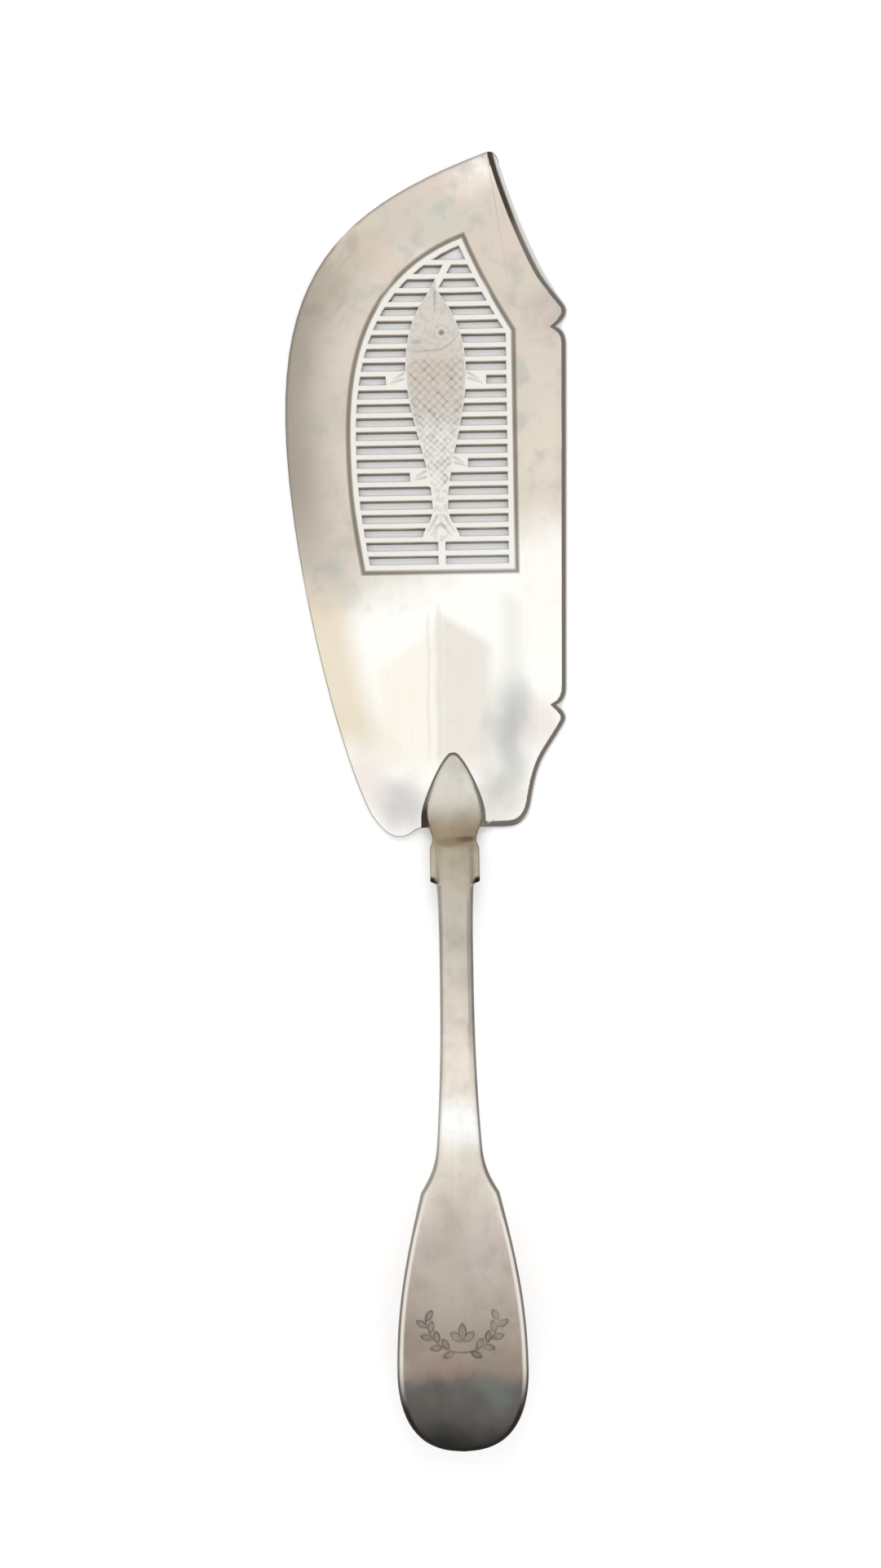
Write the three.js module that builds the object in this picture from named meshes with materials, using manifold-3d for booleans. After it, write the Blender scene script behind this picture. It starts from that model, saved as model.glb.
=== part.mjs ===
// Pierced fish slice: a flat silver blade with a sawn fish panel, soldered to a cranked fiddle handle.
// Millimetres, +Z up. The origin is on the blade's underside, below the middle of the handle's heel.
// +Y runs to the blade's tip, +X to its spine, and the blade's flat underside lies in z = 0.

import * as THREE from 'three';
import { mergeVertices } from 'three/addons/utils/BufferGeometryUtils.js';
import Module from 'manifold-3d';

const wasm = await Module();
wasm.setup();

// Blade sheet, and the corner where its cutting edge and its spine would meet
const BLADE_THICKNESS = 1.4;
const TIP_X = 12.2;
const TIP_Y = 150.1;
const TIP_ROUND = 2.8;
const TIP_FLARE = 0.6;

// Cutting edge: its widest place, how far it keeps its direction there, and its planed margin
const BELLY_X = -37.9;
const BELLY_Y = 87.5;
const BELLY_PULL_UP = 37;
const BELLY_PULL_DOWN = 29.5;
const TIP_PULL_X = 31.5;
const TIP_PULL_Y = 11.5;
const EDGE_FOOT_PULL_X = 8;
const EDGE_FOOT_PULL_Y = 16.6;
const EDGE_TAPER_WIDTH = 7;
const EDGE_TAPER_DROP = 0.45;
const EDGE_TAPER_RUN_OUT = 30;

// Two rounded lobes at the heel end of the blade
const LEFT_LOBE_X = -12.7;
const LEFT_LOBE_DROP = 2.1;
const LEFT_LOBE_WIDTH = 6.8;
const LEFT_LOBE_HEIGHT = 5.7;
const RIGHT_LOBE_X = 12.1;
const RIGHT_LOBE_WIDTH = 6.2;
const RIGHT_LOBE_HEIGHT = 5.8;
const RIGHT_LOBE_LEAN = 1;

// Spine: straight between two nicks, with a cusp beyond each and a hollow from there to the tip
const SPINE_FOOT_X = 26.95;
const SPINE_TOP_X = 28.2;
const LOWER_NICK_Y = 19.9;
const UPPER_NICK_Y = 108.4;
const NICK_DEPTH = 2.1;
const NICK_REACH = 4.4;
const LOWER_CUSP_REACH = 4.3;
const LOWER_CUSP_BULGE = 0.6;
const UPPER_CUSP_REACH = 5.6;
const UPPER_CUSP_BULGE = 1.5;
const CUSP_STEP = 0.7;
const OGEE_LOBE_PULL = 10.5;
const OGEE_CUSP_PULL = 9.3;
const HOLLOW_CUSP_PULL = 12;
const HOLLOW_TIP_PULL = 3;

// Bevel on the top edge from the heel round to the tip, which widens along the hollow
const SPINE_BEVEL_WIDTH = 1.2;
const SPINE_BEVEL_DROP = 0.7;
const HOLLOW_BEVEL_WIDTH = 2.1;
const HOLLOW_BEVEL_DROP = 0.9;
const HOLLOW_BEVEL_GROWTH = 8;
const BEVEL_RUN_OUT = 1.5;

// Engraved line round the pierced panel
const PANEL_TIP_GAP_X = 8;
const PANEL_TIP_GAP_Y = 20.1;
const PANEL_EDGE_GAP = 14.6;
const PANEL_SPINE_GAP = 11.9;
const PANEL_BASE_Y = 51.4;
const PANEL_BELLY_Y = 83;
const PANEL_SHOULDER_DROP = 22.3;
const PANEL_HOLLOW = 1.2;
const PANEL_APEX_PULL_X = 22;
const PANEL_APEX_PULL_Y = 8.1;
const PANEL_BELLY_PULL_UP = 20;
const PANEL_BELLY_PULL_DOWN = 12;
const PANEL_FOOT_TUCK = 3.1;
const PANEL_FOOT_PULL_X = 2.4;
const PANEL_FOOT_PULL_Y = 14;
const GROOVE_WIDTH = 1;
const GROOVE_DEPTH = 0.4;

// Drain slots
const SLOT_MARGIN = 1.9;
const SLOT_HEIGHT = 1.95;
const SLOT_PITCH = 3.23;
const RIB_WIDTH = 1.8;

// Fish left standing between the slots, with its head to the tip
const FISH_HEAD_X = -2.95;
const FISH_TAIL_X = -1.9;
const SNOUT_GAP = 12.8;
const TAIL_GAP = 8;
const HEAD_LENGTH = 18.7;
const CHEEK_WIDTH = 10.6;
const CHEEK_DROP = 5.4;
const FISH_WIDTH = 14.3;
const FLANK_PULL_UP = 7.5;
const FLANK_PULL_DOWN = 10.5;
const STALK_WIDTH = 3.7;
const STALK_PULL_UP = 10;
const STALK_PULL_DOWN = 2.7;
const TAIL_LENGTH = 6.9;
const TAIL_SPAN = 9.2;
const TAIL_TUCK = 0.4;
const TAIL_PULL = 2;
const TAIL_NOTCH = 0.3;

// Fins, each of which fills the inner end of a slot in the row given, counted from the lowest
const PECTORAL_ROW = 13;
const PECTORAL_REACH = 11.8;
const PECTORAL_ROOT = 5.6;
const LEFT_FIN_ROW = 6;
const RIGHT_FIN_ROW = 7;
const SMALL_FIN_REACH = 6.9;
const SMALL_FIN_ROOT = 6;

// Handle seen from above, from the heel on the blade to the fiddle end
const HEEL_LENGTH = 17.2;
const HEEL_WIDTH = 13.5;
const HEEL_POINT_WIDTH = 1;
const HEEL_POINT_SHARE = 0.28;
const HEEL_BELLY_Y = -1;
const HEEL_SWELL = 3;
const HEEL_OVERHANG = 0.4;
const NECK_LENGTH = 2.4;
const NECK_WIDTH = 10.2;
const SHOULDER_RISE = 2.2;
const SHOULDER_LENGTH = 7.5;
const SHOULDER_WIDTH = 11.5;
const SHOULDER_STEP = 0.6;
const STEM_TOP_WIDTH = 8.6;
const STEM_WAIST_LENGTH = 21.7;
const STEM_WAIST_WIDTH = 7.8;
const STEM_FOOT_LENGTH = 37.6;
const STEM_FOOT_WIDTH = 10.3;
const THROAT_LENGTH = 10.6;
const THROAT_WIDTH = 17.9;
const FIDDLE_LENGTH = 40.8;
const FIDDLE_WIDTH = 30;
const FIDDLE_END_LENGTH = 18.8;
const FIDDLE_END_PULL = 3;
const FIDDLE_TIP_WIDTH = 2;

// Growth of the half-width per length towards the handle's end
const STEM_TOP_FLARE = -0.06;
const STEM_FOOT_FLARE = 0.07;
const THROAT_FLARE_IN = 0.66;
const THROAT_FLARE_OUT = 0.25;
const PULL_SHARE = 0.36;

// Handle seen from the side: flat seat, crank, crest and dipping end
const CRANK_PULL = 7.5;
const CREST_LENGTH = 97.5;
const CREST_RISE = 18.4;
const CREST_PULL_FRONT = 57;
const CREST_PULL_BACK = 15;
const END_DIP = 3.5;
const END_PULL = 12;
const END_PULL_DIP = 1.2;
const HEEL_POINT_HEIGHT = 0.9;
const HEEL_HEIGHT = 2.3;
const HOLLOW_OFFSET = 2;
const HOLLOW_HEIGHT = 2.2;
const NECK_HEIGHT = 4.1;
const STEM_HEIGHT = 3.6;
const THROAT_HEIGHT = 2.9;
const FIDDLE_HEIGHT = 2.3;
const RIM_HEIGHT = 2.1;

// Handle section: rounded lower edge, upright side, sloping flank and crowned top
const EDGE_SHARE = 0.5;
const UNDER_SHARE = 0.4;
const UNDER_BULGE = 0.7;
const LAND_INSET = 1.25;
const LAND_INSET_SHARE = 0.6;
const FLANK_ACROSS = 0.4;
const FLANK_UP = 0.65;
const CROWN = 0.3;
const CROWN_SHOULDER = 0.75;
const RIM_ROUND = 1.4;
const RIM_SHARE = 0.4;

// Solder between the heel and the blade
const SOLDER_FILM = 0.2;
const SOLDER_RIM = 0.65;

// Facets along a curve, and how far cutters run past the faces that they cut
const FINE_STEPS = 60;
const LONG_STEPS = 20;
const MIDDLE_STEPS = 12;
const SHORT_STEPS = 7;
const OVERCUT = 0.2;

// Places worked out from the sizes above
const HEEL_TIP_Y = HEEL_LENGTH / 2;
const HEEL_FOOT_Y = -HEEL_LENGTH / 2;
const BLADE_HEEL_Y = HEEL_FOOT_Y + HEEL_OVERHANG;
const HOLLOW_Y = HEEL_FOOT_Y - HOLLOW_OFFSET;
const NECK_Y = HEEL_FOOT_Y - NECK_LENGTH;
const SHOULDER_TOP_Y = NECK_Y - SHOULDER_RISE;
const SHOULDER_Y = SHOULDER_TOP_Y - SHOULDER_LENGTH;
const STEM_TOP_Y = SHOULDER_Y - SHOULDER_STEP;
const WAIST_Y = STEM_TOP_Y - STEM_WAIST_LENGTH;
const STEM_FOOT_Y = WAIST_Y - STEM_FOOT_LENGTH;
const THROAT_Y = STEM_FOOT_Y - THROAT_LENGTH;
const FIDDLE_Y = THROAT_Y - FIDDLE_LENGTH;
const HANDLE_END_Y = FIDDLE_Y - FIDDLE_END_LENGTH;
const SEAT_Z = BLADE_THICKNESS + SOLDER_FILM;
const EDGE_FOOT_Y = BLADE_HEEL_Y - LEFT_LOBE_DROP + LEFT_LOBE_HEIGHT;
const APEX_X = TIP_X - PANEL_TIP_GAP_X;
const APEX_Y = TIP_Y - PANEL_TIP_GAP_Y;
const SNOUT_Y = APEX_Y - SNOUT_GAP;
const TAIL_Y = PANEL_BASE_Y + TAIL_GAP;
const FIRST_SLOT_Y = PANEL_BASE_Y + SLOT_MARGIN;

const agedSilver = new THREE.MeshStandardMaterial({ color: 0xd6cdc0, metalness: 1, roughness: 0.3 });
const wornSilver = new THREE.MeshStandardMaterial({ color: 0xcabfb2, metalness: 1, roughness: 0.32 });
const darkSolder = new THREE.MeshStandardMaterial({ color: 0x5a4c3c, metalness: 1, roughness: 0.55 });

const { lerp, mapLinear, smoothstep } = THREE.MathUtils;

function point(x, y) {
  return new THREE.Vector2(x, y);
}

// The point that lies a given distance beyond the second of two points, in line with both.
function beyond(from, through, distance) {
  return through.clone().addScaledVector(through.clone().sub(from).normalize(), distance);
}

function bezier(start, startPull, endPull, end, steps) {
  return new THREE.CubicBezierCurve(start, startPull, endPull, end).getPoints(steps);
}

function bend(start, corner, end, steps) {
  return new THREE.QuadraticBezierCurve(start, corner, end).getPoints(steps);
}

// Runs of points joined end to end, with the doubled points where they meet left out.
function joinRuns(...runs) {
  const points = runs.flat();
  return points.filter((p, i) => i === 0 || p.distanceTo(points[i - 1]) > 1e-6);
}

// A mitred step to the left at each point of a run, one unit long square to its segments.
function leftSteps(points, closed) {
  const last = points.length - 1;
  return points.map((here, i) => {
    const before = i > 0 ? points[i - 1] : closed ? points[last] : null;
    const after = i < last ? points[i + 1] : closed ? points[0] : null;
    const arriving = (before ? here.clone().sub(before) : after.clone().sub(here)).normalize();
    const leaving = (after ? after.clone().sub(here) : here.clone().sub(before)).normalize();
    const step = point(-arriving.y - leaving.y, arriving.x + leaving.x);
    return step.divideScalar(1 + arriving.dot(leaving));
  });
}

// Upright sections along a run: each profile gives points of distance to the left and height.
function sectionsAlong(points, closed, profileAt) {
  const steps = leftSteps(points, closed);
  return points.map((here, i) => profileAt(i).map(([across, z]) => {
    const moved = here.clone().addScaledVector(steps[i], across);
    return new THREE.Vector3(moved.x, moved.y, z);
  }));
}

// Closed skin over sections with equal numbers of points: a row with capped ends, or a ring.
function loft(sections, ring = false) {
  const count = sections[0].length;
  const rows = sections.length;
  const faces = [];
  for (let row = 0; row < (ring ? rows : rows - 1); row++) {
    const next = (row + 1) % rows;
    for (let i = 0; i < count; i++) {
      const j = (i + 1) % count;
      const [a, b] = [row * count + i, row * count + j];
      const [c, d] = [next * count + i, next * count + j];
      faces.push([a, b, d], [a, d, c]);
    }
  }
  const end = (rows - 1) * count;
  for (let i = 1; i + 1 < count && !ring; i++) {
    faces.push([0, i + 1, i], [end, end + i, end + i + 1]);
  }
  const points = sections.flat();
  const volume = faces.reduce((sum, [a, b, c]) => {
    return sum + points[a].dot(points[b].clone().cross(points[c]));
  }, 0);
  const outward = volume > 0 ? faces : faces.map(([a, b, c]) => [a, c, b]);
  return new THREE.BufferGeometry().setFromPoints(points).setIndex(outward.flat());
}

function plate(points, bottom, top) {
  const options = { depth: top - bottom, bevelEnabled: false };
  return new THREE.ExtrudeGeometry(new THREE.Shape(points), options).translate(0, 0, bottom);
}

function solid(geometry) {
  const bare = geometry.clone();
  bare.deleteAttribute('normal');
  bare.deleteAttribute('uv');
  const merged = mergeVertices(bare);
  return new wasm.Manifold(new wasm.Mesh({
    numProp: 3,
    vertProperties: merged.attributes.position.array,
    triVerts: new Uint32Array(merged.index.array),
  }));
}

function geometryOf(body) {
  const mesh = body.getMesh();
  const geometry = new THREE.BufferGeometry();
  geometry.setAttribute('position', new THREE.BufferAttribute(mesh.vertProperties, 3));
  geometry.setIndex(new THREE.BufferAttribute(mesh.triVerts, 1));
  return geometry;
}

// The blade's outline runs anticlockwise: cutting edge from the tip, heel end, spine to the tip.
function edgeStart() {
  const tip = point(TIP_X, TIP_Y);
  return beyond(point(TIP_X + TIP_PULL_X, TIP_Y + TIP_PULL_Y), tip, TIP_ROUND);
}

function edgeFoot() {
  return point(LEFT_LOBE_X - LEFT_LOBE_WIDTH, EDGE_FOOT_Y);
}

function cuttingEdge() {
  const start = edgeStart();
  const belly = point(BELLY_X, BELLY_Y);
  const foot = edgeFoot();
  const fromTip = point(start.x - TIP_PULL_X, start.y - TIP_PULL_Y);
  const aboveBelly = point(BELLY_X, BELLY_Y + BELLY_PULL_UP);
  const belowBelly = point(BELLY_X, BELLY_Y - BELLY_PULL_DOWN);
  const aboveFoot = point(foot.x - EDGE_FOOT_PULL_X, foot.y + EDGE_FOOT_PULL_Y);
  return joinRuns(
    bezier(start, fromTip, aboveBelly, belly, LONG_STEPS),
    bezier(belly, belowBelly, aboveFoot, foot, LONG_STEPS),
  );
}

function rightLobeCorner() {
  return point(RIGHT_LOBE_X + RIGHT_LOBE_WIDTH - RIGHT_LOBE_LEAN, BLADE_HEEL_Y);
}

function rightLobeSide() {
  return point(RIGHT_LOBE_X + RIGHT_LOBE_WIDTH, BLADE_HEEL_Y + RIGHT_LOBE_HEIGHT);
}

function heelEnd() {
  const lobeY = BLADE_HEEL_Y - LEFT_LOBE_DROP;
  const leftLobe = point(LEFT_LOBE_X, lobeY);
  const heelCorner = point(-HEEL_WIDTH / 2, BLADE_HEEL_Y);
  const middleX = (LEFT_LOBE_X + heelCorner.x) / 2;
  return joinRuns(
    bend(edgeFoot(), point(LEFT_LOBE_X - LEFT_LOBE_WIDTH / 2, lobeY), leftLobe, SHORT_STEPS),
    bezier(leftLobe, point(middleX, lobeY), point(middleX, BLADE_HEEL_Y), heelCorner, SHORT_STEPS),
  );
}

function rightLobe() {
  return bend(point(RIGHT_LOBE_X, BLADE_HEEL_Y), rightLobeCorner(), rightLobeSide(), SHORT_STEPS);
}

function tipSide() {
  return point(TIP_X + TIP_FLARE, TIP_Y - TIP_ROUND);
}

function tipRound() {
  return bend(tipSide(), point(TIP_X, TIP_Y), edgeStart(), SHORT_STEPS);
}

function spine() {
  const lobeSide = rightLobeSide();
  const lowerCusp = point(SPINE_FOOT_X - CUSP_STEP, LOWER_NICK_Y - LOWER_CUSP_REACH);
  const lowerBulge = point(SPINE_FOOT_X + LOWER_CUSP_BULGE, LOWER_NICK_Y - LOWER_CUSP_REACH / 2);
  const lowerNick = point(SPINE_FOOT_X - NICK_DEPTH, LOWER_NICK_Y);
  const spineFoot = point(SPINE_FOOT_X, LOWER_NICK_Y + NICK_REACH);
  const spineTop = point(SPINE_TOP_X, UPPER_NICK_Y - NICK_REACH);
  const upperNick = point(SPINE_TOP_X - NICK_DEPTH, UPPER_NICK_Y);
  const upperBulge = point(SPINE_TOP_X + UPPER_CUSP_BULGE, UPPER_NICK_Y + UPPER_CUSP_REACH / 2);
  const upperCusp = point(SPINE_TOP_X - CUSP_STEP, UPPER_NICK_Y + UPPER_CUSP_REACH);
  const fromLobe = beyond(rightLobeCorner(), lobeSide, OGEE_LOBE_PULL);
  const belowCusp = beyond(lowerBulge, lowerCusp, OGEE_CUSP_PULL);
  const aboveCusp = beyond(upperBulge, upperCusp, HOLLOW_CUSP_PULL);
  const belowTip = beyond(point(TIP_X, TIP_Y), tipSide(), HOLLOW_TIP_PULL);
  return joinRuns(
    bezier(lobeSide, fromLobe, belowCusp, lowerCusp, MIDDLE_STEPS),
    bend(lowerCusp, lowerBulge, lowerNick, SHORT_STEPS),
    bend(lowerNick, point(SPINE_FOOT_X, LOWER_NICK_Y + NICK_DEPTH / 2), spineFoot, SHORT_STEPS),
    bend(spineTop, point(SPINE_TOP_X, UPPER_NICK_Y - NICK_DEPTH / 2), upperNick, SHORT_STEPS),
    bend(upperNick, upperBulge, upperCusp, SHORT_STEPS),
    bezier(upperCusp, aboveCusp, belowTip, tipSide(), LONG_STEPS),
  );
}

function bladeOutline() {
  return joinRuns(cuttingEdge(), heelEnd(), rightLobe(), spine(), tipRound()).slice(0, -1);
}

// The bevelled part of the outline, from beside the solder up the spine and straight on past the tip.
function bevelRun() {
  const start = point(HEEL_WIDTH / 2 + SOLDER_RIM, BLADE_HEEL_Y);
  const fullDepth = point(start.x + BEVEL_RUN_OUT, BLADE_HEEL_Y);
  const run = joinRuns([start, fullDepth], rightLobe(), spine());
  return [...run, beyond(run.at(-2), run.at(-1), 2 * TIP_ROUND + BEVEL_RUN_OUT)];
}

function bevelSize(place) {
  const cuspY = UPPER_NICK_Y + UPPER_CUSP_REACH;
  const share = smoothstep(place.y, cuspY, cuspY + HOLLOW_BEVEL_GROWTH);
  const width = lerp(SPINE_BEVEL_WIDTH, HOLLOW_BEVEL_WIDTH, share);
  return [width, lerp(SPINE_BEVEL_DROP, HOLLOW_BEVEL_DROP, share)];
}

// Wedge that planes the top face down along a run of the outline and runs out at both ends.
// Its width and drop are given for each place on the run.
function edgeWedge(points, sizeAt, runOut) {
  const lengths = [0];
  for (let i = 1; i < points.length; i++) {
    lengths.push(lengths[i - 1] + points[i].distanceTo(points[i - 1]));
  }
  const above = BLADE_THICKNESS + OVERCUT;
  return loft(sectionsAlong(points, false, (i) => {
    const [width, drop] = sizeAt(points[i]);
    const fromEnd = Math.min(lengths[i], lengths.at(-1) - lengths[i]);
    const slope = drop / width * Math.min(1, fromEnd / runOut);
    const edgeZ = BLADE_THICKNESS - slope * (width + OVERCUT);
    return [[-OVERCUT, edgeZ], [width, BLADE_THICKNESS], [width, above], [-OVERCUT, above]];
  }));
}

// Line round the pierced panel, anticlockwise from its apex.
function panelOutline() {
  const left = BELLY_X + PANEL_EDGE_GAP;
  const right = (SPINE_FOOT_X + SPINE_TOP_X) / 2 - PANEL_SPINE_GAP;
  const apex = point(APEX_X, APEX_Y);
  const belly = point(left, PANEL_BELLY_Y);
  const leftFoot = point(left + PANEL_FOOT_TUCK, PANEL_BASE_Y);
  const rightFoot = point(right, PANEL_BASE_Y);
  const shoulder = point(right, APEX_Y - PANEL_SHOULDER_DROP);
  const hollow = point((APEX_X + right) / 2 - PANEL_HOLLOW, (APEX_Y + shoulder.y) / 2);
  const fromApex = point(APEX_X - PANEL_APEX_PULL_X, APEX_Y - PANEL_APEX_PULL_Y);
  const aboveBelly = point(left, PANEL_BELLY_Y + PANEL_BELLY_PULL_UP);
  const belowBelly = point(left, PANEL_BELLY_Y - PANEL_BELLY_PULL_DOWN);
  const aboveFoot = point(leftFoot.x - PANEL_FOOT_PULL_X, PANEL_BASE_Y + PANEL_FOOT_PULL_Y);
  return joinRuns(
    bezier(apex, fromApex, aboveBelly, belly, LONG_STEPS),
    bezier(belly, belowBelly, aboveFoot, leftFoot, SHORT_STEPS),
    [rightFoot],
    bend(shoulder, hollow, apex, SHORT_STEPS),
  ).slice(0, -1);
}

// V-shaped cutter along the panel line, whose sides go on rising above the face.
function panelGroove() {
  const low = BLADE_THICKNESS - GROOVE_DEPTH;
  const high = BLADE_THICKNESS + GROOVE_DEPTH;
  const profile = [[0, low], [GROOVE_WIDTH, high], [-GROOVE_WIDTH, high]];
  return loft(sectionsAlong(panelOutline(), true, () => profile), true);
}

function fishAxis(y) {
  return mapLinear(y, SNOUT_Y, TAIL_Y, FISH_HEAD_X, FISH_TAIL_X);
}

// Points given as distance from the fish's axis and place along the blade.
function onFish(points) {
  return points.map((p) => point(fishAxis(p.y) + p.x, p.y));
}

function fishOutline() {
  const half = FISH_WIDTH / 2;
  const stalkHalf = STALK_WIDTH / 2;
  const tailHalf = TAIL_SPAN / 2;
  const flankY = SNOUT_Y - HEAD_LENGTH;
  const stalkY = TAIL_Y + TAIL_LENGTH;
  const snout = point(RIB_WIDTH / 2, SNOUT_Y);
  const cheek = point(CHEEK_WIDTH / 2, SNOUT_Y - CHEEK_DROP);
  const flank = point(half, flankY);
  const aboveFlank = point(half, flankY + FLANK_PULL_UP);
  const belowFlank = point(half, flankY - FLANK_PULL_DOWN);
  const stalk = point(stalkHalf, stalkY);
  const aboveStalk = point(stalkHalf, stalkY + STALK_PULL_UP);
  const belowStalk = point(stalkHalf, stalkY - STALK_PULL_DOWN);
  const lobe = point(tailHalf, TAIL_Y);
  const aboveLobe = point(tailHalf - TAIL_TUCK, TAIL_Y + TAIL_PULL);
  const side = joinRuns(
    bezier(snout, cheek, aboveFlank, flank, SHORT_STEPS),
    bezier(flank, belowFlank, aboveStalk, stalk, SHORT_STEPS),
    bezier(stalk, belowStalk, aboveLobe, lobe, SHORT_STEPS),
  );
  const otherSide = side.map((p) => point(-p.x, p.y)).reverse();
  return onFish([...side, point(0, TAIL_Y + TAIL_NOTCH), ...otherSide]).reverse();
}

// A fin that tapers to the height of its slot, 1 for the right side and -1 for the left.
function fin(side, row, reach, root) {
  const y = FIRST_SLOT_Y + row * SLOT_PITCH + SLOT_HEIGHT / 2;
  const tip = SLOT_HEIGHT + OVERCUT;
  const corners = [[0, -root], [reach, -tip], [reach, tip], [0, root]];
  const placed = onFish(corners.map(([x, height]) => point(x * side, y + height / 2)));
  return side > 0 ? placed : placed.reverse();
}

// A straight bar of rib width from one point to another.
function rib(start, end) {
  const along = end.clone().sub(start).normalize();
  const left = point(-along.y, along.x).multiplyScalar(RIB_WIDTH / 2);
  return [start.clone().sub(left), end.clone().sub(left), end.clone().add(left), start.clone().add(left)];
}

// What stays standing between the slots: the fish, its fins and the ribs at its snout and tail.
function standingShapes(apexSlotY) {
  const snout = point(FISH_HEAD_X, SNOUT_Y);
  const ribTopY = apexSlotY - (SLOT_PITCH - SLOT_HEIGHT) / 2;
  const ribTop = point(mapLinear(ribTopY, SNOUT_Y, APEX_Y, FISH_HEAD_X, APEX_X), ribTopY);
  const tail = point(fishAxis(TAIL_Y), TAIL_Y + TAIL_LENGTH);
  const base = point(fishAxis(PANEL_BASE_Y), PANEL_BASE_Y);
  return [
    fishOutline(),
    fin(1, PECTORAL_ROW, PECTORAL_REACH, PECTORAL_ROOT),
    fin(-1, PECTORAL_ROW, PECTORAL_REACH, PECTORAL_ROOT),
    fin(1, RIGHT_FIN_ROW, SMALL_FIN_REACH, SMALL_FIN_ROOT),
    fin(-1, LEFT_FIN_ROW, SMALL_FIN_REACH, SMALL_FIN_ROOT),
    rib(snout, ribTop),
    rib(base, tail),
  ];
}

// The panel inside its plain margin.
function panelWindow() {
  const line = panelOutline();
  const steps = leftSteps(line, true);
  return line.map((p, i) => p.clone().addScaledVector(steps[i], SLOT_MARGIN));
}

// Through cutters for the rows of slots; the topmost fills the panel's apex.
function slotCutter() {
  const opening = panelWindow();
  const xs = opening.map((p) => p.x);
  const [left, right] = [Math.min(...xs), Math.max(...xs)];
  const top = Math.max(...opening.map((p) => p.y));
  const rows = Math.floor((top - FIRST_SLOT_Y) / SLOT_PITCH);
  const apexSlotY = FIRST_SLOT_Y + rows * SLOT_PITCH;
  const lowest = -OVERCUT;
  const highest = BLADE_THICKNESS + OVERCUT;
  const around = (shape) => solid(plate(shape, lowest - OVERCUT, highest + OVERCUT));
  const bands = [];
  for (let row = 0; row <= rows; row++) {
    const low = FIRST_SLOT_Y + row * SLOT_PITCH;
    const high = row < rows ? low + SLOT_HEIGHT : top;
    const corners = [point(left, low), point(right, low), point(right, high), point(left, high)];
    bands.push(solid(plate(corners, lowest, highest)));
  }
  const open = wasm.Manifold.union(bands).intersect(around(opening));
  return standingShapes(apexSlotY).reduce((rest, shape) => rest.subtract(around(shape)), open);
}

function makeBlade() {
  const taperSize = () => [EDGE_TAPER_WIDTH, EDGE_TAPER_DROP];
  const taper = edgeWedge(cuttingEdge(), taperSize, EDGE_TAPER_RUN_OUT);
  const bevel = edgeWedge(bevelRun(), bevelSize, BEVEL_RUN_OUT);
  const body = solid(plate(bladeOutline(), 0, BLADE_THICKNESS))
    .subtract(solid(taper))
    .subtract(solid(bevel))
    .subtract(solid(panelGroove()))
    .subtract(slotCutter());
  const mesh = new THREE.Mesh(geometryOf(body), agedSilver);
  mesh.name = 'blade';
  return mesh;
}

// Half of the heel's outline as place and half-width, from its point to its widest, grown by a margin.
function heelSide(margin) {
  const half = HEEL_WIDTH / 2 + margin;
  const start = point(HEEL_TIP_Y + margin, HEEL_POINT_WIDTH / 2);
  const widest = point(HEEL_FOOT_Y + HEEL_SWELL, half);
  const besidePoint = point(start.x, half * HEEL_POINT_SHARE);
  return bezier(start, besidePoint, point(HEEL_BELLY_Y, half), widest, MIDDLE_STEPS);
}

// A stretch of half-widths between two places, leaving and arriving with the given flares.
function stretch(start, end, startFlare, endFlare, steps) {
  const pull = (start.x - end.x) * PULL_SHARE;
  const startPull = point(start.x - pull, start.y + startFlare * pull);
  const endPull = point(end.x + pull, end.y - endFlare * pull);
  return bezier(start, startPull, endPull, end, steps);
}

// Half-widths along the whole handle, as points of place and half-width.
function handlePlan() {
  const heel = heelSide(0);
  const neck = point(NECK_Y, NECK_WIDTH / 2);
  const shoulderTop = point(SHOULDER_TOP_Y, SHOULDER_WIDTH / 2);
  const shoulder = point(SHOULDER_Y, SHOULDER_WIDTH / 2);
  const stemTop = point(STEM_TOP_Y, STEM_TOP_WIDTH / 2);
  const waist = point(WAIST_Y, STEM_WAIST_WIDTH / 2);
  const stemFoot = point(STEM_FOOT_Y, STEM_FOOT_WIDTH / 2);
  const throat = point(THROAT_Y, THROAT_WIDTH / 2);
  const fiddle = point(FIDDLE_Y, FIDDLE_WIDTH / 2);
  const end = point(HANDLE_END_Y, FIDDLE_TIP_WIDTH / 2);
  const besideEnd = point(HANDLE_END_Y, fiddle.y);
  return joinRuns(
    heel,
    stretch(heel.at(-1), neck, 0, 0, SHORT_STEPS),
    stretch(neck, shoulderTop, 0, 0, SHORT_STEPS),
    stretch(shoulderTop, shoulder, 0, 0, SHORT_STEPS),
    stretch(stemTop, waist, STEM_TOP_FLARE, 0, SHORT_STEPS),
    stretch(waist, stemFoot, 0, STEM_FOOT_FLARE, MIDDLE_STEPS),
    stretch(stemFoot, throat, STEM_FOOT_FLARE, THROAT_FLARE_IN, SHORT_STEPS),
    stretch(throat, fiddle, THROAT_FLARE_OUT, 0, MIDDLE_STEPS),
    bezier(fiddle, point(FIDDLE_Y - FIDDLE_END_PULL, fiddle.y), besideEnd, end, LONG_STEPS),
  );
}

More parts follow.
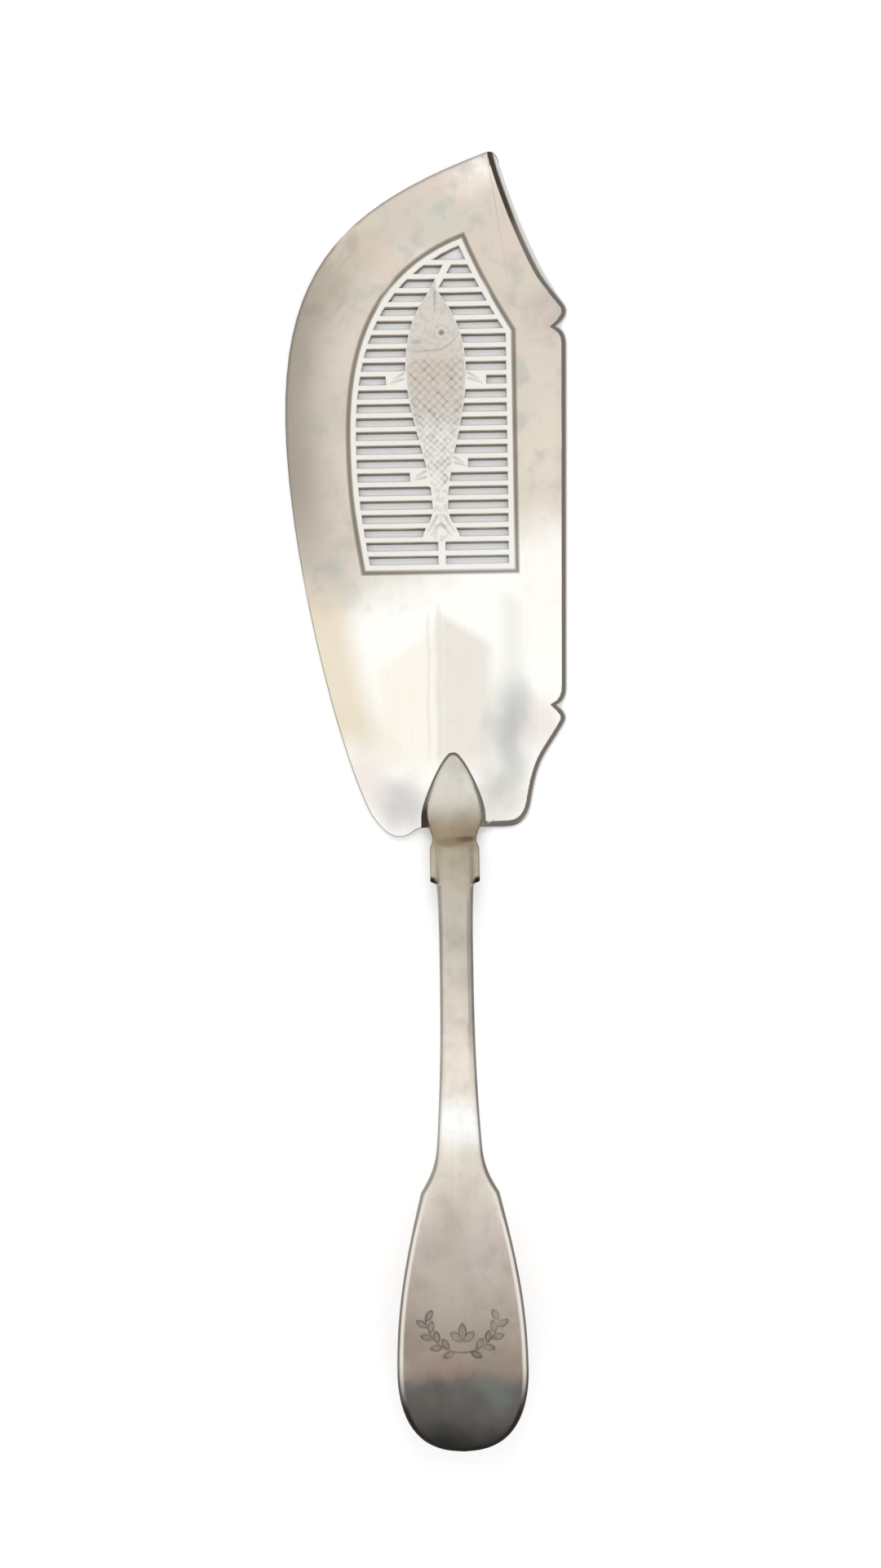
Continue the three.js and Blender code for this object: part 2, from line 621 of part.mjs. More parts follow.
function undersideProfile() {
  const crestY = HEEL_FOOT_Y - CREST_LENGTH;
  const crestZ = SEAT_Z + CREST_RISE;
  const seatEnd = point(HEEL_FOOT_Y, SEAT_Z);
  const crest = point(crestY, crestZ);
  const end = point(HANDLE_END_Y, crestZ - END_DIP);
  const fromSeat = point(HEEL_FOOT_Y - CRANK_PULL, SEAT_Z);
  const beforeCrest = point(crestY + CREST_PULL_FRONT, crestZ);
  const afterCrest = point(crestY - CREST_PULL_BACK, crestZ);
  const beforeEnd = point(HANDLE_END_Y + END_PULL, crestZ - END_PULL_DIP);
  return joinRuns(
    [point(HEEL_TIP_Y, SEAT_Z)],
    bezier(seatEnd, fromSeat, beforeCrest, crest, FINE_STEPS),
    bezier(crest, afterCrest, beforeEnd, end, FINE_STEPS),
  );
}

function thicknessProfile() {
  return new THREE.SplineCurve([
    point(HEEL_TIP_Y, HEEL_POINT_HEIGHT),
    point(HEEL_FOOT_Y + HEEL_SWELL, HEEL_HEIGHT),
    point(HOLLOW_Y, HOLLOW_HEIGHT),
    point(SHOULDER_Y, NECK_HEIGHT),
    point(WAIST_Y, STEM_HEIGHT),
    point(THROAT_Y, THROAT_HEIGHT),
    point(FIDDLE_Y, FIDDLE_HEIGHT),
    point(HANDLE_END_Y, RIM_HEIGHT),
  ]).getPoints(2 * FINE_STEPS);
}

// Height at a place, from a profile of points of place and height that runs down the handle.
function heightAt(profile, place) {
  const next = profile.findIndex((p) => p.x <= place);
  if (next <= 0) return profile.at(next).y;
  const [a, b] = [profile[next - 1], profile[next]];
  return mapLinear(place, a.x, b.x, a.y, b.y);
}

// How far the section has become a rib between two lower wings: fully so along the shoulders.
function wingShare(place) {
  return place < SHOULDER_Y ? 0 : 1 - smoothstep(place, SHOULDER_TOP_Y, HEEL_FOOT_Y);
}

function handleSection(place, half, under, full) {
  const fromEnd = Math.min(1, (place - HANDLE_END_Y) / RIM_ROUND);
  const height = full * lerp(RIM_SHARE, 1, Math.sqrt(1 - (1 - fromEnd) ** 2));
  const base = under + (full - height) / 2;
  const edge = height * EDGE_SHARE;
  const round = edge * UNDER_SHARE;
  const wing = wingShare(place);
  const ribHalf = lerp(half, STEM_TOP_WIDTH / 2, wing);
  const land = ribHalf - Math.min(LAND_INSET, ribHalf * LAND_INSET_SHARE);
  const flank = lerp(lerp(half, land, FLANK_ACROSS), ribHalf, wing);
  const flankHeight = lerp(lerp(edge, height, FLANK_UP), edge, wing);
  const side = [
    [half - round, 0],
    [half - round * (1 - UNDER_BULGE), round * (1 - UNDER_BULGE)],
    [half, round],
    [half, edge],
    [flank, flankHeight],
    [land, height],
    [land / 2, height + CROWN * CROWN_SHOULDER],
  ];
  const otherSide = side.map(([x, z]) => [-x, z]).reverse();
  const outline = [[0, 0], ...side, [0, height + CROWN], ...otherSide];
  return outline.map(([x, z]) => new THREE.Vector3(x, place, base + z));
}

function makeHandle() {
  const underside = undersideProfile();
  const thickness = thicknessProfile();
  const sections = handlePlan().map((p) => {
    return handleSection(p.x, p.y, heightAt(underside, p.x), heightAt(thickness, p.x));
  });
  const mesh = new THREE.Mesh(loft(sections), wornSilver);
  mesh.name = 'handle';
  return mesh;
}

// Thin film under the heel that shows as a rim round it and ends at the edge of the blade.
function makeHeelSolder() {
  const side = heelSide(SOLDER_RIM).map((p) => point(-p.y, p.x));
  const left = [...side, point(side.at(-1).x, BLADE_HEEL_Y)];
  const right = left.map((p) => point(-p.x, p.y)).reverse();
  const mesh = new THREE.Mesh(plate([...left, ...right], BLADE_THICKNESS, SEAT_Z), darkSolder);
  mesh.name = 'heel_solder';
  return mesh;
}

const fishSlice = new THREE.Group();
fishSlice.add(makeBlade(), makeHandle(), makeHeelSolder());
for (const mesh of fishSlice.children) mesh.geometry.computeVertexNormals();

export default fishSlice;
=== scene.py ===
"""Looks of a pierced silver fish slice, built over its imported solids."""

import math

import bmesh
import bpy
from bpy.props import FloatProperty, FloatVectorProperty, PointerProperty
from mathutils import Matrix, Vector, noise
from mathutils.kdtree import KDTree


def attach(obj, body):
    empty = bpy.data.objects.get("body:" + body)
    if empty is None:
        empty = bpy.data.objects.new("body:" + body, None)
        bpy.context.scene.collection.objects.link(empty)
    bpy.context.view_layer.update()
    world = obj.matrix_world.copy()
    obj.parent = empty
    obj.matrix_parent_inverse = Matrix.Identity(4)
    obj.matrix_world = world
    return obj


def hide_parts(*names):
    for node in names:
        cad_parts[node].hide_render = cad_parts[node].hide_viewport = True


bl_info = {
    "name": "Fish slice",
    "version": (1, 0, 0),
    "blender": (4, 5, 0),
    "location": "3D View > Sidebar > Fish slice",
    "description": "Dresses the solids of a pierced silver fish slice",
    "category": "Object",
}

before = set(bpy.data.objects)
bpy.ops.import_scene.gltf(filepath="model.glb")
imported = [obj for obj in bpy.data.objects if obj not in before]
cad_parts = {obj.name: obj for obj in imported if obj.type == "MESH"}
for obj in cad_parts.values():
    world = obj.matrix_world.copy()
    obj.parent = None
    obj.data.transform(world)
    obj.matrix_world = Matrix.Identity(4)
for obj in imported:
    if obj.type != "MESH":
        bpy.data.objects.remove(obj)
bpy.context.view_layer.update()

MM = 0.001
WELD = 0.001 * MM

# Rows of cutting planes, square to the blade or slanting across it
SQUARE = (Vector((1, 0, 0)), Vector((0, 1, 0)))
SLANTED = (Vector((1, 1, 0)).normalized(), Vector((1, -1, 0)).normalized())

# Heights and places in millimetres, in the frame of the solids
BLADE_TOP = max(v.co.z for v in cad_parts["blade"].data.vertices) / MM
PANEL_BOX = ((-25.0, 50.0), (17.0, 132.0))
PANEL_MARGIN = 8.0
BLADE_BOX = ((-40.0, -12.0), (30.0, 152.0))
BLADE_STEP = 1.5
EDGE_STEP = 0.5
OUTLINE_STEP = 0.15
OUTLINE_MERGE = 0.15

# Least upward part of a face's normal: untouched, level, gently tapering, bounded by a crest, not steep
EXACT = 0.99999
LEVEL = 0.9995
GENTLE = 0.99
CRESTED = 0.98
STEEP = 0.97

# Short edges at the tip's corner, which stay crisp
TIP_CORNER = Vector((12.3, 148.3))
TIP_REACH = 1.6

# The bevel lies right of one line, and right of another beside the heel, where it begins in a small box
SPINE_LEFT = 9.6
SPINE_LEFT_LOW = 7.0
BEVEL_START = ((7.0, -9.0), (9.3, -6.9))

# Bands along the outline, of tarnish with painted shade and of a warm tint with painted reflection: reach
# from it, and where each fades at its two ends along the blade
EDGE_BAND = ((14.0, 0.0), (35.0, 75.0), (136.0, 112.0))
WARM_BAND = ((12.0, 4.0), (54.0, 42.0), (5.0, 17.0))

# How far the painted shade spreads from the rounded rim
RIM_FADE = 0.5

# Depths under the blade's top from which a corner is in an engraved line, a groove or on a slot's wall
LINE_DROP = 0.01
GROOVE_DROP = 0.2
WALL_DROP = 0.25

# The fish: half-widths of its body along the blade, and the slant of its axis
SNOUT = 117.2
TAIL = 59.4
AXIS_AT_SNOUT = -2.95
AXIS_AT_TAIL = -1.9
BODY = (
    (66.0, 1.85), (72.0, 2.5), (80.0, 4.4), (90.0, 6.5), (98.0, 7.15),
    (104.0, 6.8), (108.8, 5.7), (113.2, 3.7), (117.2, 0.9),
)
FISH_BOX = ((-15.2, 58.5), (10.2, 119.5))
FISH_MIDDLE = Vector((-2.6, 90.0))
FISH_STEP = 0.25
FISH_CUTS = (
    # Mouth
    ((0.35, 116.9), (0.2, 112.0)),
    # Fork and rays of the tail
    ((0.0, 62.9), (2.3, 60.0)),
    ((0.0, 62.9), (-2.3, 60.0)),
    ((0.8, 64.6), (3.0, 60.9)),
    ((-0.8, 64.6), (-3.0, 60.9)),
    # Fin rays, right and left
    ((7.4, 97.9), (9.8, 96.5)),
    ((7.6, 96.6), (10.6, 95.6)),
    ((-7.6, 97.9), (-9.8, 96.5)),
    ((-7.6, 96.6), (-10.6, 95.6)),
    ((3.6, 78.2), (5.6, 76.9)),
    ((3.8, 76.9), (6.2, 76.2)),
    ((-3.2, 75.0), (-5.4, 73.7)),
    ((-3.2, 73.6), (-5.8, 73.0)),
)
FISH_LINE = 0.45
GILL = 103.2
CHEEK = (-4.3, 105.2)
CHEEK_REACH = (1.9, 0.9)
EYE = (1.65, 107.3)
EYE_RING = 1.75

# Scales: where they fade out at either end, their spacings, and the half-width of their lines
SCALES_TOP = (102.0, 100.0)
SCALES_FOOT = (70.0, 73.0)
SCALE_SPACING = 1.5
FINE_SPACING = 1.15
FINE_BELOW = 88.0
SCALE_LINE = 0.4

# Sprig engraved near the handle's end: two arched twigs round three leaves, with bearings in degrees
SPRIG_BOX = ((-11.2, -130.4), (11.2, -116.6))
SPRIG_STEP = 0.22
TWIG_CENTRE = (0.0, -119.2)
TWIG_RADIUS = 8.4
TWIG_END = 84
TWIG_LEAVES = (12, 22, 32, 42, 52, 62, 72, 82)
TWIG_LEAF = (1.45, 0.6)
TWIG_LEAF_OUT = 1.55
TWIG_LEAF_LEAN = 38
MIDDLE_FOOT = -125.3
MIDDLE_LEAVES = ((90, 2.1), (42, 1.7))
MIDDLE_WIDTH = 0.75
MIDDLE_OUT = 1.15
LEAF_LINE = 0.32
FINE_LINE = 0.24

# Where the stem turns into the fiddle
THROAT = -91.2

# The handle's neck: its run, the half-width of the rib between its shoulders, and their lower corners, where
# painted shadow lies
NECK_RUN = (-21.7, -9.0)
RIB_HALF = 4.6
SHOULDER_CORNERS = (Vector((-5.5, -20.9)), Vector((5.5, -20.9)))
CORNER_REACH = (1.7, 0.9)

# How crisp the handle's shoulders, its other edges and its throat stay
NECK_CREASE = 0.95
EDGE_CREASE = 0.4
THROAT_CREASE = 0.75

# Tilts of the handle's skin, in degrees, between which wear, painted shade and painted highlight set in or
# fade
HOLLOW_ANGLE = (12.0, 50.0)
RIM_TILT = (38.0, 56.0)
THROAT_TILT = 9.0
UNDERSIDE_TILT = (128.0, 106.0)
UPRIGHT_TILT = (76.0, 88.0)
FLANK_RISE = (7.0, 20.0)
FLANK_FALL = (46.0, 36.0)
STEM_TILT = (8.0, 20.0)
TIP_TILT = (11.0, 25.0)

# Runs along the handle between which wear, painted shade and painted highlight set in or fade
THROAT_REACH = (12.0, 4.0)
END_RUN = (-128.0, -142.0)
TIP_RUN = (-135.0, -143.0)
FLANK_RUN = (-84.0, -98.0)
STEM_TOP = (-22.0, -27.0)
STEM_FOOT = (-68.0, -52.0)

# The solder's inset rim, and the runs over which it rises to the lump at the heel's left foot
BEAD_INSET = 0.5
LUMP_ACROSS = (-2.0, -4.5)
LUMP_ALONG = (1.0, -7.0)
LUMP_SHIFT = 0.7


def smooth(low, high, value):
    """0 below low, 1 above high and an even bend between; low may be the greater."""
    share = min(1.0, max(0.0, (value - low) / (high - low)))
    return share * share * (3 - 2 * share)


def between(knots, place):
    """Height at a place, on straight lines between knots given in rising order."""
    for (x0, y0), (x1, y1) in zip(knots, knots[1:]):
        if place <= x1:
            return y0 + (y1 - y0) * max(0.0, (place - x0) / (x1 - x0))
    return knots[-1][1]


def flat_place(vert):
    """A corner's place seen from above, in millimetres."""
    return vert.co.xy / MM


def face_place(face):
    """The middle of a face seen from above, in millimetres."""
    return face.calc_center_median().xy / MM


def edge_place(edge):
    """The middle of an edge seen from above, in millimetres."""
    start, end = edge.verts
    return (flat_place(start) + flat_place(end)) / 2


def inside(box, place):
    (left, low), (right, high) = box
    return left < place.x < right and low < place.y < high


def copy_of(node):
    """A welded copy of a solid."""
    bm = bmesh.new()
    bm.from_mesh(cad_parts[node].data)
    bmesh.ops.remove_doubles(bm, verts=bm.verts, dist=WELD)
    return bm


def parts_of(faces):
    """The faces with their edges and corners, as bisect_plane takes them."""
    edges = {e for f in faces for e in f.edges}
    verts = {v for f in faces for v in f.verts}
    return [*faces, *edges, *verts]


def new_layers(bm, *names):
    """New values on every corner, which the finishes read as attributes."""
    return [bm.verts.layers.float.new(name) for name in names]


def flatten(bm, degrees):
    """Joins faces that lie in one plane, within a small angle."""
    bmesh.ops.dissolve_limit(
        bm, angle_limit=math.radians(degrees), verts=bm.verts, edges=bm.edges, delimit=set(),
    )


def sharp_edges(bm, degrees):
    return [e for e in bm.edges if e.is_manifold and e.calc_face_angle() > math.radians(degrees)]


def round_edges(bm, edges, width, segments):
    bmesh.ops.bevel(
        bm, geom=edges, offset=width, offset_type="OFFSET", segments=segments, profile=0.5,
        affect="EDGES", clamp_overlap=False, material=-1,
    )


def cut_fine(bm, faces, box, step, normals):
    """Cuts the faces inside a box into small cells by rows of upright planes, and returns the cells."""
    low, high = box
    geom = parts_of(faces)
    for corner, sign in ((low, 1), (high, -1)):
        for normal in (Vector((sign, 0, 0)), Vector((0, sign, 0))):
            place = Vector((*corner, 0)) * MM
            geom = bmesh.ops.bisect_plane(bm, geom=geom, dist=WELD, plane_co=place, plane_no=normal)["geom"]
    faces = [item for item in geom if isinstance(item, bmesh.types.BMFace)]
    geom = parts_of([f for f in faces if inside(box, face_place(f))])
    corners = [Vector((x, y, 0)) for x in (low[0], high[0]) for y in (low[1], high[1])]
    for normal in normals:
        ends = [normal.dot(corner) for corner in corners]
        for row in range(math.ceil(min(ends) / step), math.floor(max(ends) / step) + 1):
            place = normal * (row * step * MM)
            geom = bmesh.ops.bisect_plane(bm, geom=geom, dist=WELD, plane_co=place, plane_no=normal)["geom"]
    return [item for item in geom if isinstance(item, bmesh.types.BMFace)]


def flood(faces, start):
    """The faces that can be reached from one of them over shared edges."""
    left = set(faces) - {start}
    found = [start]
    for face in found:
        for edge in face.edges:
            for other in edge.link_faces:
                if other in left:
                    left.remove(other)
                    found.append(other)
    return found


def cut_depth(distance, half_width):
    """Share of the full depth at a distance from the middle of a V-shaped cut."""
    return max(0.0, 1 - abs(distance) / half_width)


def from_line(x, y, start, end):
    """Distance of a point from a straight cut, and its share of the way along."""
    across = Vector((end[0] - start[0], end[1] - start[1]))
    to_point = Vector((x - start[0], y - start[1]))
    share = min(1.0, max(0.0, to_point.dot(across) / across.length_squared))
    return (to_point - across * share).length, share


def fish_axis(y):
    return AXIS_AT_SNOUT + (AXIS_AT_TAIL - AXIS_AT_SNOUT) * (SNOUT - y) / (SNOUT - TAIL)


def scale_relief(x, y, across, half):
    """Depth share of the crossed scale lines, finer towards the tail and deepest where they cross."""
    body = smooth(half - 0.5, half - 1.0, abs(across))
    scales = body * smooth(*SCALES_TOP, y) * smooth(*SCALES_FOOT, y)
    if scales == 0:
        return 0.0
    spacing = SCALE_SPACING if y > FINE_BELOW else FINE_SPACING
    wear = 0.7 + 0.9 * noise.noise((x * 0.5, y * 0.5, 0.0))
    lines = []
    for along in ((x + y) / math.sqrt(2), (x - y) / math.sqrt(2)):
        off = along - spacing * round(along / spacing)
        lines.append(cut_depth(off, SCALE_LINE))
    return scales * max(0.0, wear) * (0.5 * max(lines) + 0.5 * lines[0] * lines[1])


def line_relief(across, y, half):
    """Depth share of the fish's gill, eye, mouth, tail and fins."""
    depth = 0.0
    # Gill line, which rises round the eye
    if abs(across) < half - 0.4:
        gill = GILL + 0.12 * max(0.0, across) ** 2 + 0.07 * min(0.0, across)
        depth = max(depth, 0.6 * smooth(7.0, 3.0, abs(across)) * cut_depth(y - gill, FISH_LINE))
    # Dent in the cheek
    cheek = math.hypot((across - CHEEK[0]) / CHEEK_REACH[0], (y - CHEEK[1]) / CHEEK_REACH[1])
    depth = max(depth, 0.5 * smooth(1.0, 0.3, cheek))
    # Eye, and the faint ring round it
    eye = math.hypot(across - EYE[0], y - EYE[1])
    depth = max(depth, 1.3 * smooth(0.95, 0.3, eye), 0.25 * cut_depth(eye - EYE_RING, 0.4))
    # Straight cuts, which thin out at their far ends
    for start, end in FISH_CUTS:
        off, share = from_line(across, y, start, end)
        depth = max(depth, (0.9 - 0.5 * share) * cut_depth(off, FISH_LINE))
    return depth


def leaf_cut(x, y, middle, heading, length, width):
    """Depth share of an engraved leaf with two arched sides and a vein."""
    along = Vector((math.cos(heading), math.sin(heading)))
    to_point = Vector((x - middle[0], y - middle[1]))
    place = to_point.dot(along) / length
    if abs(place) > 1:
        return 0.0
    off = abs(to_point.cross(along))
    side = off - width * (1 - place * place)
    return max(cut_depth(side, LEAF_LINE), 0.7 * cut_depth(off, FINE_LINE))


def sprig_relief(x, y):
    """Depth share of the sprig; it is the same on both sides of the handle."""
    x = abs(x)
    depth = 0.0
    for heading, reach in MIDDLE_LEAVES:
        turn = math.radians(heading)
        out = reach * MIDDLE_OUT
        middle = (out * math.cos(turn), MIDDLE_FOOT + out * math.sin(turn))
        depth = max(depth, leaf_cut(x, y, middle, turn, reach, MIDDLE_WIDTH))
    arm = Vector((x - TWIG_CENTRE[0], y - TWIG_CENTRE[1]))
    bearing = math.degrees(math.atan2(arm.x, -arm.y))
    if 0 <= bearing <= TWIG_END:
        depth = max(depth, 0.9 * cut_depth(arm.length - TWIG_RADIUS, FINE_LINE))
    for number, place in enumerate(TWIG_LEAVES):
        turn = math.radians(place)
        heading = turn + math.radians(TWIG_LEAF_LEAN if number % 2 else -TWIG_LEAF_LEAN)
        root = (TWIG_CENTRE[0] + TWIG_RADIUS * math.sin(turn), TWIG_CENTRE[1] - TWIG_RADIUS * math.cos(turn))
        middle = (root[0] + TWIG_LEAF_OUT * math.cos(heading), root[1] + TWIG_LEAF_OUT * math.sin(heading))
        depth = max(depth, leaf_cut(x, y, middle, heading, *TWIG_LEAF))
    return depth


class BladeLook(bpy.types.PropertyGroup):
    """Finish of the pierced blade"""

    edge_round: FloatProperty(
        name="Edge rounding", description="Width of the worn rounding on the blade's upper outline",
        default=0.3 * MM, min=0, unit="LENGTH",
    )
    foot_round: FloatProperty(
        name="Foot rounding", description="Width of the worn rounding on the blade's lower edges",
        default=0.14 * MM, min=0, unit="LENGTH",
    )
    slot_round: FloatProperty(
        name="Slot rounding", description="Width of the worn rounding on the slots and the engraved line",
        default=0.18 * MM, min=0, unit="LENGTH",
    )
    # The leaned upper walls show from above, and their dark colour is the slots' painted shadow
    wall_lean: FloatProperty(
        name="Wall lean", description="How far the saw leaned as it cut the slots' upper walls",
        default=0.55 * MM, min=0, unit="LENGTH",
    )
    cut_depth: FloatProperty(
        name="Engraving depth", description="Depth of the deepest engraved lines on the fish",
        default=0.14 * MM, min=0, unit="LENGTH",
    )
    clean: FloatVectorProperty(
        name="Clean silver", description="Colour of the silver where it is rubbed bright",
        default=(1.0, 0.985, 0.94), subtype="COLOR", size=3,
    )
    dull: FloatVectorProperty(
        name="Dull silver", description="Colour of the silver round the pierced panel",
        default=(0.7, 0.64, 0.55), subtype="COLOR", size=3,
    )
    # Tarnish along the cutting edge, with painted shade
    tarnish_and_shade: FloatVectorProperty(
        name="Tarnish", description="Colour of the silver along the cutting edge",
        default=(0.33, 0.29, 0.24), subtype="COLOR", size=3,
    )
    # Dirt in engraved lines, also painted shadow on the slots' walls and a painted dark line along the rim
    patina_and_shade: FloatVectorProperty(
        name="Patina", description="Colour of the dirt in engraved lines",
        default=(0.11, 0.09, 0.07), subtype="COLOR", size=3,
    )
    roughness: FloatProperty(
        name="Roughness", description="Blur of reflections on the blade", default=0.3, min=0, max=1,
        subtype="FACTOR",
    )


class HandleLook(bpy.types.PropertyGroup):
    """Finish of the handle"""

    cut_depth: FloatProperty(
        name="Engraving depth", description="Depth of the sprig near the handle's end",
        default=0.12 * MM, min=0, unit="LENGTH",
    )
    # Dirt in corners and engraved lines, also painted shadow at the shoulders and painted dark reflection at
    # the end
    patina_and_shade: FloatVectorProperty(
        name="Patina", description="Colour of the dirt in corners and engraved lines",
        default=(0.03, 0.026, 0.021), subtype="COLOR", size=3,
    )
    roughness: FloatProperty(
        name="Roughness", description="Blur of reflections on the handle", default=0.36, min=0, max=1,
        subtype="FACTOR",
    )


class SolderLook(bpy.types.PropertyGroup):
    """Shape and finish of the solder bead"""

    rise: FloatProperty(
        name="Bead height", description="Height that the solder climbs up the heel's side",
        default=0.6 * MM, min=0, unit="LENGTH",
    )
    lump: FloatProperty(
        name="Lump", description="Extra height of the solder at the heel's left foot",
        default=1.5 * MM, min=0, unit="LENGTH",
    )
    spread: FloatProperty(
        name="Spread", description="How far the solder has run out at the heel's left foot",
        default=0.25 * MM, min=0, unit="LENGTH",
    )
    oxide: FloatVectorProperty(
        name="Oxide", description="Colour of the blackened solder",
        default=(0.25, 0.225, 0.185), subtype="COLOR", size=3,
    )


class StageLook(bpy.types.PropertyGroup):
    """Camera, floor and light"""

    eye_height: FloatProperty(
        name="Camera height", description="Height of the camera over the floor", default=0.85, unit="LENGTH",
    )
    lens: FloatProperty(name="Lens", description="Focal length", default=83.5, unit="CAMERA")
    turn: FloatProperty(
        name="Turn", description="Turn of the camera about its line of sight",
        default=math.radians(-0.908), unit="ROTATION",
    )
    key_power: FloatProperty(
        name="Key light", description="Power of the soft light beyond the tip", default=8.0,
    )
    fill_power: FloatProperty(
        name="Fill light", description="Power of the low lights round the stage, all together", default=207.0,
    )
    sky: FloatProperty(name="Sky", description="Brightness of the surrounding light", default=1.0)


# How far the edges of large and of small patches wander, and the least reach of a large one
WANDER = 12.0
SWAY = 2.5
LARGE_PATCH = 4.5

# The painted reflections on the lower blade: the line on which they are highest, their fall beside it, and
# their softness
ROOF_LINE = -3.0
ROOF_FALL = 0.6
FIELD_FOOT = 4.0
FIELD_TOP = 2.0

# Sockets of a colour mix, whose names repeat, and of a range
MIX_SHARE, MIX_UNDER, MIX_OVER, MIX_RESULT = 0, 6, 7, 2
RANGE_SOCKETS = ("From Min", "From Max", "To Min", "To Max")


class Finish:
    """A metal finish, and the node patterns that finishes share. Places are in millimetres."""

    def __init__(self, name):
        self.material = bpy.data.materials.new(name)
        self.material.use_nodes = True
        self.tree = self.material.node_tree
        self.shader = self.tree.nodes["Principled BSDF"]
        self.shader.inputs["Metallic"].default_value = 1.0
        coords = self.tree.nodes.new("ShaderNodeTexCoord")
        self.place = self.vector("SCALE", coords.outputs["Object"], scale=1 / MM)
        warp = self.node("ShaderNodeTexNoise", Vector=self.place, Scale=0.07, Detail=3.0)
        shifted = self.vector("SUBTRACT", warp.outputs["Color"], (0.5, 0.5, 0.5))
        self.wander = self.vector("ADD", self.place, self.vector("SCALE", shifted, scale=WANDER))
        self.sway = self.vector("ADD", self.place, self.vector("SCALE", shifted, scale=SWAY))

    def node(self, kind, **inputs):
        made = self.tree.nodes.new(kind)
        for name, value in inputs.items():
            self.feed(made.inputs[name], value)
        return made

    def feed(self, socket, value):
        if isinstance(value, bpy.types.NodeSocket):
            self.tree.links.new(value, socket)
        else:
            socket.default_value = value

    def vector(self, operation, first, second=None, scale=None):
        made = self.tree.nodes.new("ShaderNodeVectorMath")
        made.operation = operation
        self.feed(made.inputs[0], first)
        if second is not None:
            self.feed(made.inputs[1], second)
        if scale is not None:
            made.inputs["Scale"].default_value = scale
        return made.outputs["Value" if operation in ("LENGTH", "DOT_PRODUCT") else "Vector"]

    def math(self, operation, first, second):
        made = self.tree.nodes.new("ShaderNodeMath")
        made.operation = operation
        self.feed(made.inputs[0], first)
        self.feed(made.inputs[1], second)
        return made.outputs["Value"]

    def times(self, first, second):
        return self.math("MULTIPLY", first, second)

    def along(self, direction):
        """How far a place lies in a direction."""
        return self.vector("DOT_PRODUCT", self.place, direction)

    def bend(self, value, low, high, to_low=0.0, to_high=1.0):
        """An even bend from one value to another as the input goes from low to high."""
        made = self.node("ShaderNodeMapRange", Value=value)
        made.interpolation_type = "SMOOTHSTEP"
        for name, number in zip(RANGE_SOCKETS, (low, high, to_low, to_high)):
            made.inputs[name].default_value = number
        return made.outputs["Result"]

    def noise(self, scale, detail=3.0, stretch=(1.0, 1.0, 1.0), turn=0.0):
        """Cloudy values; the scale is in waves per millimetre."""
        mapping = self.node("ShaderNodeMapping", Vector=self.place)
        mapping.inputs["Scale"].default_value = stretch
        mapping.inputs["Rotation"].default_value = (0.0, 0.0, turn)
        made = self.node("ShaderNodeTexNoise", Vector=mapping.outputs["Vector"], Scale=scale, Detail=detail)
        return made.outputs["Fac"]

    def blot(self, centre, reach, core=0.3):
        """A soft oval patch with a wandering edge, which wanders less on a small one."""
        ground = self.wander if min(reach) > LARGE_PATCH else self.sway
        offset = self.vector("SUBTRACT", ground, (*centre, 0.0))
        share = self.vector("DIVIDE", offset, (*reach, 1000.0))
        return self.bend(self.vector("LENGTH", share), 1.0, core)

    def field(self, low, high, soft):
        """A patch between two corners with soft sides, whose top falls away like a roof."""
        split = self.node("ShaderNodeSeparateXYZ", Vector=self.sway)
        x, y = split.outputs["X"], split.outputs["Y"]
        aside = self.math("ABSOLUTE", self.math("SUBTRACT", x, ROOF_LINE), 0.0)
        peak = self.math("ADD", y, self.times(aside, ROOF_FALL))
        left = self.bend(x, low[0] - soft, low[0] + soft)
        right = self.bend(x, high[0] + soft, high[0] - soft)
        foot = self.bend(y, low[1] - FIELD_FOOT, low[1] + FIELD_FOOT)
        top = self.bend(peak, high[1] + FIELD_TOP, high[1] - FIELD_TOP)
        return self.times(self.times(left, right), self.times(foot, top))

    def blend(self, share, under, over):
        made = self.tree.nodes.new("ShaderNodeMix")
        made.data_type = "RGBA"
        self.feed(made.inputs[MIX_SHARE], share)
        self.feed(made.inputs[MIX_UNDER], (*under, 1.0) if isinstance(under, tuple) else under)
        self.feed(made.inputs[MIX_OVER], (*over, 1.0) if isinstance(over, tuple) else over)
        return made.outputs[MIX_RESULT]

    def stain(self, colour, share, tint, strength):
        """Lays a tint over a colour, as far as the share goes."""
        return self.blend(self.times(share, strength), colour, tint)

    def shade(self, colour, share, tint, strength):
        """Multiplies a colour by a tint, as far as the share goes."""
        made = self.stain(colour, share, tint, strength)
        made.node.blend_type = "MULTIPLY"
        return made

    def attribute(self, name):
        made = self.tree.nodes.new("ShaderNodeAttribute")
        made.attribute_name = name
        return made.outputs["Fac"]

    def tones(self, value, stops):
        """A run of colours along a value, given as places and colours in rising order."""
        low, high = stops[0][0], stops[-1][0]
        share = self.node("ShaderNodeMapRange", Value=value)
        share.inputs["From Min"].default_value = low
        share.inputs["From Max"].default_value = high
        made = self.node("ShaderNodeValToRGB", Fac=share.outputs["Result"])
        ramp = made.color_ramp
        ramp.interpolation = "EASE"
        for place, colour in stops[1:-1]:
            ramp.elements.new((place - low) / (high - low)).color = (*colour, 1.0)
        ramp.elements[0].color = (*stops[0][1], 1.0)
        ramp.elements[-1].color = (*stops[-1][1], 1.0)
        return made.outputs["Color"]

    def finished(self, colour, roughness, height, strength, distance):
        """The material, with its colour, the blur of its reflections and a bumped surface."""
        bump = self.node("ShaderNodeBump", Height=height, Strength=strength, Distance=distance)
        self.feed(self.shader.inputs["Base Color"], colour)
        self.feed(self.shader.inputs["Roughness"], roughness)
        self.feed(self.shader.inputs["Normal"], bump.outputs["Normal"])
        return self.material
